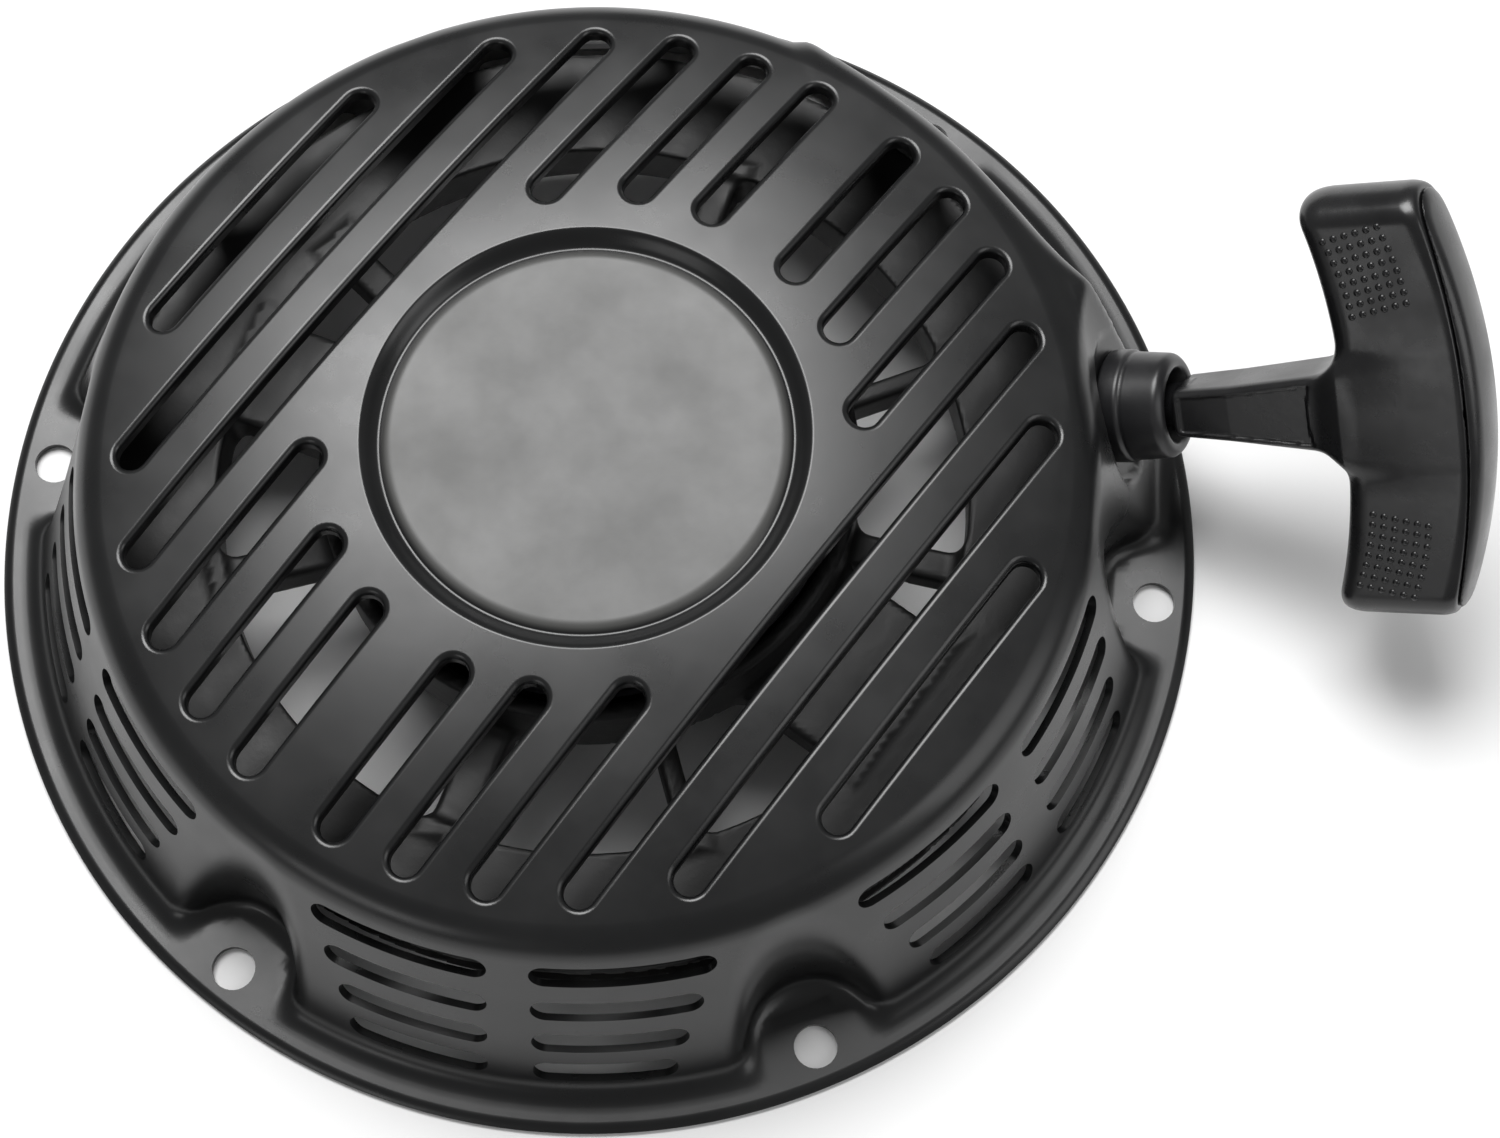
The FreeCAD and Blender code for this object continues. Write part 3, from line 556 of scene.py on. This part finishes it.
def triangulate(inner, loops):
    """Triangles over the flat pattern, with the loops as edges and their insides left out."""
    everything = np.concatenate(loops + [inner])
    ids, edges, start = [], [], 0
    for loop in loops:
        ids.append(np.arange(start, start + len(loop)))
        edges += [(start + i, start + (i + 1) % len(loop)) for i in range(len(loop))]
        start += len(loop)
    result = delaunay_2d_cdt([Vector(p) for p in everything], edges, [], 0, 1e-7)
    points = np.array([v[:] for v in result[0]])
    faces = np.array(result[2])
    origin = result[3]
    where = {old: new for new, olds in enumerate(origin) for old in olds}
    centres = points[faces].mean(axis=1)
    keep = inside_loop(centres, loops[0])
    for loop in loops[1:]:
        keep &= ~inside_loop(centres, loop)
    return points, faces[keep], [np.array([where[i] for i in ring]) for ring in ids]


# ---- closed solids from a field ----

def solid_from_field(field, low, high, step):
    """Mesh of the surface where the field is zero: points, quads and point normals."""
    axes = [np.arange(a, b + step, step) for a, b in zip(low, high)]
    grid = np.stack(np.meshgrid(*axes, indexing="ij"), -1)
    inside = field(grid.reshape(-1, 3)).reshape(grid.shape[:3]) < 0
    nx, ny, nz = (count - 1 for count in inside.shape)
    corners = sum(inside[i:nx + i, j:ny + j, k:nz + k].astype(int)
                  for i in (0, 1) for j in (0, 1) for k in (0, 1))
    mixed = (corners > 0) & (corners < 8)
    number = np.full(mixed.shape, -1)
    number[mixed] = np.arange(mixed.sum())
    points = grid[:-1, :-1, :-1][mixed] + step / 2
    for _ in range(8):
        slope = gradient(field, points)
        move = -(field(points) / np.maximum(np.sum(slope ** 2, axis=1), 0.05))[:, None] * slope
        points = points + np.clip(move, -step / 2, step / 2)
    return points, crossing_quads(inside, number), unit(gradient(field, points))


def crossing_quads(inside, number):
    """One quad round every grid edge whose two ends are on different sides."""
    quads = []
    for axis in range(3):
        solid = np.moveaxis(inside, axis, 0)
        cell = np.moveaxis(number, axis, 0)
        change = solid[:-1, 1:-1, 1:-1] != solid[1:, 1:-1, 1:-1]
        i, j, k = np.where(change)
        ring = np.stack([cell[i, j, k], cell[i, j + 1, k], cell[i, j + 1, k + 1], cell[i, j, k + 1]], 1)
        leaving = solid[i, j + 1, k + 1]
        forward = leaving if axis != 1 else ~leaving
        quads.append(np.where(forward[:, None], ring, ring[:, ::-1]))
    return np.concatenate(quads)


def add_solid(name, field, low, high, step, body, slot, place=None):
    """A piece from a field over a box; place turns its own axes into the row frame."""
    points, quads, normals = solid_from_field(field, low, high, step)
    if place is not None:
        points, normals = place(points), place(normals) - place(np.zeros((1, 3)))
    corner_normals = normals[quads.reshape(-1)]
    return make_object(name, points, quads.tolist(), body, slot, corner_normals)


def in_pull_frame(points):
    """Points given along the pull direction, the crossbar and the grip's face."""
    return COLLAR_MOUTH + points @ np.stack([PULL, BAR, FACE])


# ---- handle: coordinates are pull distance u, crossbar v, grip face h ----
# half widths of the stem at places along the pull
STEM_U = [0.8, 12.0, 34.0, 46.0]
STEM_HALF_V = [4.6, 5.4, 7.9, 6.0]
STEM_HALF_H = [6.4, 7.2, 7.8, 3.0]
BAR_REACH = 43.2
INNER_MID = 33.7
INNER_DROP = 5.2
INNER_DROP_AT = 38.0
SEAM_MID = 56.6
SEAM_CURVE = 5.8 / 40 ** 2
CAP_MID = 59.6
CAP_CURVE = 7.6 / 40 ** 2
CAP_CROWN_R = 30.0
PANEL_START = 2.2
PANEL_END = 27.5
PANEL_ARCH = 1.6
PANEL_BORDER = 1.5
PANEL_DEPTH = 0.55
ROPE_BORE_R = 3.0
KNOT_HOLLOW_R = 7.6
KNOT_HOLLOW_FROM = 40.0
SEAM_GAP = 0.15
CAP_INSET = 0.12
PAD_HALF = 8.0
BODY_HALF = 9.4
BUMP_R = 0.72
BUMP_RISE = 0.42


def seam_u(v):
    """Where the seam between grip and cap lies, at a place along the crossbar."""
    return SEAM_MID - SEAM_CURVE * v ** 2


def stem_distance(p):
    """Tapered stem with a shallow sunk panel on its front and back."""
    u, v, h = p.T
    half_v = np.interp(u, STEM_U, STEM_HALF_V)
    half_h = np.interp(u, STEM_U, STEM_HALF_H)
    body = smooth_max(np.abs(v) - half_v, np.abs(h) - half_h, 2.4)
    body = smooth_max(body, STEM_U[0] - u, 1.0)
    body = np.maximum(body, u - 50)
    past_end = u - PANEL_END - PANEL_ARCH * (v / 8.0) ** 2
    panel = smooth_max(np.abs(v) - half_v + PANEL_BORDER, np.maximum(past_end, PANEL_START - u), 0.6)
    panel = smooth_max(panel, half_h - PANEL_DEPTH - np.abs(h), 0.3)
    return smooth_max(body, -panel, 0.5)


def blank_distance(p):
    """Outside of the crossbar with its cap on, before the seam divides it."""
    u, v, h = p.T
    reach = np.abs(v)
    inner_u = INNER_MID - INNER_DROP * (reach / INNER_DROP_AT) ** 2.4
    middle = 1 - smooth_step(reach, 0.0, 16.0)
    swell = middle * smooth_step(u, 26, 32) * (1 - 0.85 * smooth_step(u, 33, 57))
    half_h = PAD_HALF + (BODY_HALF - PAD_HALF) * swell
    inner = (inner_u - u) / np.sqrt(1 + (0.34 * reach / INNER_DROP_AT) ** 2)
    pill = np.hypot(np.maximum(reach - BAR_REACH + PAD_HALF, 0), h) - half_h
    side = np.where(reach > BAR_REACH - PAD_HALF, pill, np.abs(h) - half_h)
    bar = smooth_max(side, inner, 4.6)
    bar = smooth_max(bar, reach - BAR_REACH + 0.04 * np.maximum(48 - u, 0), 8.0)
    outer = u - CAP_MID + CAP_CURVE * v ** 2 + h ** 2 / (2 * CAP_CROWN_R)
    outer = outer / np.sqrt(1 + (2 * CAP_CURVE * v) ** 2)
    return smooth_max(bar, outer, 3.4)


def bar_distance(p):
    """The crossbar without its cap."""
    return smooth_max(blank_distance(p), p[:, 0] - seam_u(p[:, 1]), 0.5)


def grip_field(p):
    """Stem, its plug and the crossbar, bored for the rope and hollow under the cap."""
    u, v, h = p.T
    body = smooth_min(stem_distance(p), blank_distance(p), 6.0)
    body = smooth_max(body, u - seam_u(v), 0.5)
    plug = smooth_max(np.hypot(v, h) - 4.5 - 0.1 * u, -4.0 - u, 0.8)
    body = smooth_min(body, np.maximum(plug, u - 3), 0.6)
    body = np.maximum(body, ROPE_BORE_R - np.hypot(v, h))
    return np.maximum(body, -np.maximum(np.hypot(v, h) - KNOT_HOLLOW_R, KNOT_HOLLOW_FROM - u))


def cap_field(p):
    """The part of the crossbar beyond the seam."""
    cap = blank_distance(p) + CAP_INSET
    return smooth_max(cap, seam_u(p[:, 1]) + SEAM_GAP - p[:, 0], 0.6)


def bump_centres():
    """Rows of raised dots on each thumb pad, both faces."""
    across = np.array([2.02, 0.46])
    along = np.array([0.56, -2.02])
    corner = np.array([34.2, 33.1])
    centres = []
    for row in range(8):
        bow = np.array([0.05, 0.0]) * row * (7 - row)
        for column in range(6):
            centres.append(corner + across * column + along * row + bow)
    return np.array(centres)


def add_bumps(body):
    """Low domes sitting on the pads, joined into one mesh."""
    rings, around = 4, 12
    points, faces = [], []
    for sign_v in (-1, 1):
        for sign_h in (-1, 1):
            for u, v in bump_centres():
                first = len(points)
                ground = pad_height(u, v)
                for ring in range(rings):
                    a = math.pi / 2 * ring / rings
                    r = BUMP_R * math.cos(a)
                    z = ground - 0.15 + (BUMP_RISE + 0.15) * math.sin(a)
                    for i in range(around):
                        t = 2 * math.pi * i / around
                        points.append((u + r * math.cos(t), sign_v * (v + r * math.sin(t)), sign_h * z))
                points.append((u, sign_v * v, sign_h * (ground + BUMP_RISE)))
                faces += dome_faces(first, rings, around, sign_v * sign_h < 0)
    make_object("grip_dots", in_pull_frame(np.array(points)), faces, body, "grip_plastic")


def pad_height(u, v):
    """Height of the grip's face at a point of the pad."""
    low, high = 0.0, 12.0
    for _ in range(24):
        middle = (low + high) / 2
        if bar_distance(np.array([[u, v, middle]]))[0] < 0:
            low = middle
        else:
            high = middle
    return low


def dome_faces(first, rings, around, flip):
    """Faces of one dome whose points start at first and end at its crown."""
    faces = []
    for ring in range(rings):
        for i in range(around):
            a = first + ring * around + i
            b = first + ring * around + (i + 1) % around
            if ring == rings - 1:
                face = (a, b, first + rings * around)
            else:
                face = (a, b, b + around, a + around)
            faces.append(face[::-1] if flip else face)
    return faces


def add_handle():
    grip = add_solid("grip", grip_field, (-5, -45, -11), (58, 45, 11), 0.45, "pull_handle", "grip_plastic",
                     in_pull_frame)
    cap = add_solid("grip_cap", cap_field, (49, -44, -10.5), (62, 44, 10.5), 0.4, "pull_handle",
                    "grip_plastic", in_pull_frame)
    add_bumps("pull_handle")
    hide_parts("handle_grip")
    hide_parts("handle_cap")


# ---- rope collar ----

def collar_field(p):
    """Along the pull: inner lip, neck, seat on the boss, outer ring; the bore flares at both ends."""
    t, v, h = p.T
    off = np.hypot(v, h)
    ring = smooth_max(off - 10.4 + 0.06 * (t + 7.3), np.maximum(t, -9.0 - t), 1.4)
    ring = smooth_max(ring, (off + t - 8.9) * 0.7071, 0.6)
    seat = smooth_max(off - 10.9, np.maximum(t + 8.6, -13.0 - t), 0.8)
    neck = np.maximum(off - 7.6, np.maximum(t + 9, -16.5 - t))
    inner_lip = smooth_max(off - 9.2, np.maximum(t + 14.7, -17.0 - t), 0.8)
    body = smooth_min(ring, seat, 0.5)
    body = np.minimum(body, np.minimum(neck, inner_lip))
    bore = np.interp(t, [-18, -15, -14, -6.5, -4.8, 0.5], [5.6, 4.4, 3.5, 3.5, 5.8, 7.5])
    return smooth_max(body, bore - off, 0.6)


def add_collar():
    collar = add_solid("rope_collar", collar_field, (-18.5, -13.5, -13.5), (1.5, 13.5, 13.5), 0.4,
                       "shroud", "collar_plastic", in_pull_frame)
    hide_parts("rope_guide")


# ---- rope ----
ROPE_R = 2.5


def rope_tube(path, radius, around=14):
    """Points and faces of a round tube along a path, closed at both ends."""
    path = np.asarray(path, float)
    ahead = unit(np.gradient(path, axis=0))
    side = unit(np.cross(ahead, np.array([0.31, 0.2, 0.93])))
    up = np.cross(side, ahead)
    turns = np.arange(around) * 2 * math.pi / around
    ring = np.cos(turns)[None, :, None] * side[:, None] + np.sin(turns)[None, :, None] * up[:, None]
    points = (path[:, None] + radius * ring).reshape(-1, 3)
    faces = []
    for row in range(len(path) - 1):
        for i in range(around):
            j = (i + 1) % around
            faces.append((row * around + j, row * around + i, (row + 1) * around + i, (row + 1) * around + j))
    last = (len(path) - 1) * around
    faces.append(tuple(range(around)))
    faces.append(tuple(last + i for i in reversed(range(around))))
    return points, faces


def add_rope():
    """The run from inside the shroud to the knot."""
    run = COLLAR_MOUTH + np.linspace(-15.8, 41.0, 60)[:, None] * PULL
    points, faces = rope_tube(run, ROPE_R)
    rope = make_object("rope", points, faces, None, "rope_fibre")
    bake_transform(rope)
    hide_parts("rope_run")


# ---- reel ----

# spokes as direction in degrees, half width, bottom and top
SPOKES = [(28.0, 2.0, 18.5, 26.5), (77.0, 3.0, 18.5, 26.5), (142.5, 3.3, 19, 26.5), (167.0, 11.0, 18, 26),
          (202.0, 3.3, 18.5, 26.5), (257.0, 4.0, 18.5, 26.5), (293.0, 2.1, 18.5, 26.5),
          (331.0, 16.0, 18, 26), (354.5, 3.1, 19, 25.5)]

# rings of the reel as inner and outer radius, bottom and top
RIM_RING = (71.3, 93.0, 17.0, 27.3)
ROPE_GROOVE = (73.4, 99.0, 18.4, 24.6)
CUP_FLOOR = (13.0, 50.2, 24.0, 27.0)
CUP_WALL = (47.2, 50.2, 24.0, 41.0)
HUB_TUBE = (8.05, 13.0, 15.5, 49.0)
SPOKE_FROM_R = 48.5
SPOKE_TO_R = 72.3
PAWL_PIVOT_R = 27.0
PAWL_PIVOTS = (90.0, 270.0)


def ring_distance(r, z, r_low, r_high, z_low, z_high, width):
    """Distance outside a square ring whose edges are rounded over width."""
    across = np.maximum(r_low - r, r - r_high)
    return smooth_max(across, np.maximum(z_low - z, z - z_high), width)


def reel_field(p):
    """Grooved rim, hub cup and tube, spokes between them and the two pawl pins."""
    x, y, z = p.T
    r = np.hypot(x, y)
    body = ring_distance(r, z, *RIM_RING, 0.8)
    body = np.maximum(body, -ring_distance(r, z, *ROPE_GROOVE, 0.3))
    hub = ring_distance(r, z, *CUP_FLOOR, 0.4)
    hub = np.minimum(hub, ring_distance(r, z, *CUP_WALL, 1.0))
    hub = np.minimum(hub, ring_distance(r, z, *HUB_TUBE, 0.5))
    arms = np.full(len(p), 99.0)
    for angle, half, low, high in SPOKES:
        a = math.radians(angle)
        along = x * math.cos(a) + y * math.sin(a)
        across = np.abs(y * math.cos(a) - x * math.sin(a)) - half
        arm = smooth_max(across, np.maximum(low - z, z - high), 1.4)
        arms = np.minimum(arms, np.maximum(arm, np.maximum(SPOKE_FROM_R - along, along - SPOKE_TO_R)))
    body = smooth_min(np.minimum(body, hub), arms, 3.5)
    for angle in PAWL_PIVOTS:
        a = math.radians(angle)
        off = np.hypot(x - PAWL_PIVOT_R * math.cos(a), y - PAWL_PIVOT_R * math.sin(a))
        pin = off - np.where(z > 18, 2.8, 2.5)
        body = np.minimum(body, np.maximum(pin, np.maximum(15.6 - z, z - 25)))
    return body


def add_reel():
    reel = add_solid("rope_reel_wheel", reel_field, (-95, -95, 14), (95, 95, 51), 1.0, "rope_reel",
                     "reel_plastic")
    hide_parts("reel")


# ---- shroud object ----

def add_shroud():
    sheet = build_shroud()
    shroud = make_object("shroud", sheet.points, sheet.faces, "shroud", "shroud_paint", sheet.normals)
    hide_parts("housing")


# ---- materials ----

class Nodes:
    """Short way to add and join shader nodes of one material."""

    def __init__(self, name):
        self.material = bpy.data.materials.new(name)
        self.material.use_nodes = True
        self.tree = self.material.node_tree
        self.shader = self.tree.nodes["Principled BSDF"]
        self.place = self.add("ShaderNodeTexCoord").outputs["Object"]

    def add(self, kind, **values):
        node = self.tree.nodes.new(kind)
        for key, value in values.items():
            setattr(node, key, value)
        return node

    def join(self, source, target):
        self.tree.links.new(source, target)

    def noise(self, scale, detail=4.0, rough=0.55, stretch=None):
        node = self.add("ShaderNodeTexNoise")
        node.inputs["Scale"].default_value = scale
        node.inputs["Detail"].default_value = detail
        node.inputs["Roughness"].default_value = rough
        source = self.place
        if stretch is not None:
            mapping = self.add("ShaderNodeMapping")
            mapping.inputs["Scale"].default_value = stretch
            self.join(self.place, mapping.inputs["Vector"])
            source = mapping.outputs["Vector"]
        self.join(source, node.inputs["Vector"])
        return node.outputs["Fac"]

    def remap(self, source, low, high, new_low, new_high):
        node = self.add("ShaderNodeMapRange")
        for key, value in zip(("From Min", "From Max", "To Min", "To Max"), (low, high, new_low, new_high)):
            node.inputs[key].default_value = value
        self.join(source, node.inputs["Value"])
        return node.outputs["Result"]

    def blend_colours(self, share, first, second):
        node = self.add("ShaderNodeMix", data_type="RGBA")
        self.join(share, node.inputs["Factor"])
        for socket, colour in ((node.inputs["A"], first), (node.inputs["B"], second)):
            if isinstance(colour, tuple):
                socket.default_value = (*colour, 1)
            else:
                self.join(colour, socket)
        return node.outputs["Result"]

    def combine(self, operation, first, second):
        node = self.add("ShaderNodeMath", operation=operation)
        for socket, value in zip(node.inputs, (first, second)):
            if isinstance(value, (int, float)):
                socket.default_value = value
            else:
                self.join(value, socket)
        return node.outputs["Value"]

    def bump(self, heights):
        """Stacks bumps given as (height source, strength, distance in mm)."""
        last = None
        for source, strength, distance in heights:
            node = self.add("ShaderNodeBump")
            node.inputs["Strength"].default_value = strength
            node.inputs["Distance"].default_value = distance * MM
            self.join(source, node.inputs["Height"])
            if last is not None:
                self.join(last, node.inputs["Normal"])
            last = node.outputs["Normal"]
        self.join(last, self.shader.inputs["Normal"])


def moulded_plastic(name, colour, worn, roughness, grain_scale, grain_depth):
    """Black plastic with paler patches and a fine grain."""
    n = Nodes(name)
    patches = n.noise(45, 5)
    colour_out = n.blend_colours(n.remap(patches, 0.4, 0.75, 0, 1), colour, worn)
    n.join(colour_out, n.shader.inputs["Base Color"])
    shine = n.remap(n.noise(90, 6), 0.3, 0.7, roughness - 0.06, roughness + 0.08)
    n.join(shine, n.shader.inputs["Roughness"])
    n.shader.inputs["Specular IOR Level"].default_value = 0.5
    n.bump([(n.noise(grain_scale, 6, 0.6), 0.5, grain_depth), (n.noise(160, 3), 0.25, 0.06)])
    return n.material


def shroud_paint():
    """Semi-gloss black paint; the pressed disc is duller and faintly stained."""
    n = Nodes("shroud_paint_black")
    split = n.add("ShaderNodeSeparateXYZ")
    n.join(n.place, split.inputs["Vector"])
    square = n.combine("ADD", n.combine("MULTIPLY", split.outputs["X"], split.outputs["X"]),
                       n.combine("MULTIPLY", split.outputs["Y"], split.outputs["Y"]))
    radius = n.combine("SQRT", square, 0)
    on_disc = n.remap(radius, 0.0365, 0.0374, 1, 0)
    stains = n.remap(n.noise(30, 4, 0.55), 0.35, 0.7, 0.82, 1)
    dull = n.combine("MULTIPLY", on_disc, stains)
    dust = n.remap(n.noise(26, 6, 0.6), 0.5, 0.78, 0, 1)
    plain = n.blend_colours(dust, (0.005, 0.0052, 0.0055), (0.0095, 0.0098, 0.01))
    n.join(n.blend_colours(dull, plain, (0.05, 0.05, 0.048)), n.shader.inputs["Base Color"])
    gloss = n.remap(n.noise(60, 6), 0.3, 0.7, 0.25, 0.34)
    gloss = n.combine("ADD", gloss, n.combine("MULTIPLY", dull, 0.14))
    n.join(gloss, n.shader.inputs["Roughness"])
    n.bump([(n.noise(420, 3), 0.12, 0.05), (n.noise(35, 2), 0.12, 0.3)])
    return n.material


def plain_steel(name, colour, roughness, stretch):
    """Bare or plated steel with faint streaks."""
    n = Nodes(name)
    n.shader.inputs["Metallic"].default_value = 1.0
    streaks = n.noise(260, 5, 0.6, stretch)
    darker = tuple(c * 0.6 for c in colour)
    patches = n.remap(n.noise(70, 5), 0.4, 0.75, 0, 1)
    n.join(n.blend_colours(patches, colour, darker), n.shader.inputs["Base Color"])
    n.join(n.remap(streaks, 0.3, 0.7, roughness - 0.08, roughness + 0.12), n.shader.inputs["Roughness"])
    n.bump([(streaks, 0.3, 0.05)])
    return n.material


def rope_fibre():
    """Off-white braid with dark tracer threads."""
    n = Nodes("rope_braid")
    strands = n.noise(900, 3, 0.6, (1, 1, 0.6))
    weave = n.add("ShaderNodeTexWave", wave_type="BANDS", bands_direction="DIAGONAL")
    weave.inputs["Scale"].default_value = 260
    weave.inputs["Distortion"].default_value = 2.5
    n.join(n.place, weave.inputs["Vector"])
    dirty = n.blend_colours(n.remap(n.noise(55, 5), 0.35, 0.7, 0, 1), (0.55, 0.53, 0.48), (0.32, 0.3, 0.27))
    tracer = n.remap(weave.outputs["Fac"], 0.86, 0.93, 0, 1)
    n.join(n.blend_colours(tracer, dirty, (0.03, 0.03, 0.035)), n.shader.inputs["Base Color"])
    n.join(n.remap(strands, 0.3, 0.7, 0.75, 0.95), n.shader.inputs["Roughness"])
    n.bump([(weave.outputs["Fac"], 0.7, 0.3), (strands, 0.5, 0.12)])
    return n.material


def paint_everything():
    materials = {
        "shroud_paint": shroud_paint(),
        "grip_plastic": moulded_plastic(
            "grip_black", (0.006, 0.006, 0.0065), (0.01, 0.01, 0.0105), 0.27, 700, 0.03),
        "reel_plastic": moulded_plastic(
            "reel_black", (0.007, 0.007, 0.007), (0.013, 0.013, 0.014), 0.5, 230, 0.22),
        "collar_plastic": moulded_plastic(
            "collar_black", (0.009, 0.009, 0.01), (0.015, 0.015, 0.016), 0.34, 600, 0.04),
        "steel": plain_steel("turned_steel", (0.5, 0.5, 0.51), 0.35, (1, 1, 6)),
        "spring_steel": plain_steel("spring_steel_blue", (0.22, 0.22, 0.25), 0.35, (1, 1, 8)),
        "zinc_steel": plain_steel("zinc_plate", (0.62, 0.6, 0.52), 0.3, (3, 3, 3)),
        "rope_fibre": rope_fibre(),
    }
    slots = {row["node"]: row["material_slot"] for row in frame["record"]["subparts"]}
    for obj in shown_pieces():
        slot = obj["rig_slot"] if "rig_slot" in obj else slots[obj.name]
        obj.data.materials.clear()
        obj.data.materials.append(materials[slot])


# ---- camera, light and floor ----

CAMERA_POSITION = (52.6, -181.5, 510.0)
CAMERA_RIGHT = (0.9912, 0.1321, 0.0032)
CAMERA_BACKWARD = (0.0409, -0.3298, 0.9432)
CAMERA_SENSOR = 36
CAMERA_LENS = 65.43
FLOOR_DROP = 0.0004
FLOOR_GREY = (0.86, 0.86, 0.86, 1)
WORLD_STRENGTH = 0.24


def look_from(position, right, up, backward):
    """Camera matrix from a position in millimetres and its three axes."""
    rotation = Matrix((right, up, backward)).transposed().to_4x4()
    return Matrix.Translation(Vector(position) * MM) @ rotation


def add_camera():
    camera = bpy.data.objects.new("camera", bpy.data.cameras.new("camera"))
    right = Vector(CAMERA_RIGHT).normalized()
    backward = Vector(CAMERA_BACKWARD).normalized()
    up = backward.cross(right).normalized()
    right = up.cross(backward)
    camera.matrix_world = look_from(CAMERA_POSITION, right, up, backward)
    camera.data.sensor_width = CAMERA_SENSOR
    camera.data.lens = CAMERA_LENS
    bpy.context.scene.collection.objects.link(camera)
    bpy.context.scene.camera = camera


def add_area_light(name, position, target, size, power):
    light = bpy.data.objects.new(name, bpy.data.lights.new(name, "AREA"))
    light.data.shape = "RECTANGLE"
    light.data.size, light.data.size_y = size
    light.data.energy = power
    light.location = position
    light.rotation_euler = (Vector(target) - Vector(position)).to_track_quat("-Z", "Y").to_euler()
    bpy.context.scene.collection.objects.link(light)


def add_stage():
    bpy.ops.mesh.primitive_plane_add(size=6, location=(0, 0, -FLOOR_DROP))
    floor = bpy.context.object
    floor.name = "floor"
    paper = bpy.data.materials.new("paper")
    paper.use_nodes = True
    shader = paper.node_tree.nodes["Principled BSDF"]
    shader.inputs["Base Color"].default_value = FLOOR_GREY
    shader.inputs["Roughness"].default_value = 0.9
    floor.data.materials.append(paper)
    world = bpy.data.worlds.new("studio")
    world.use_nodes = True
    world.node_tree.nodes["Background"].inputs["Color"].default_value = (1, 1, 1, 1)
    world.node_tree.nodes["Background"].inputs["Strength"].default_value = WORLD_STRENGTH
    bpy.context.scene.world = world
    bpy.context.scene.view_settings.view_transform = "Standard"
    add_area_light("overhead", (-0.2, 0.5, 1.15), (0, 0, 0), (0.8, 0.65), 20)
    add_area_light("side", (0.9, -0.2, 0.7), (0, 0, 0.02), (0.5, 0.8), 2.5)
    add_area_light("front", (-0.5, -0.95, 0.42), (0.15, 0.03, 0.05), (0.5, 0.25), 0.8)


add_shroud()
add_handle()
add_collar()
add_rope()
add_reel()
paint_everything()
add_camera()
add_stage()
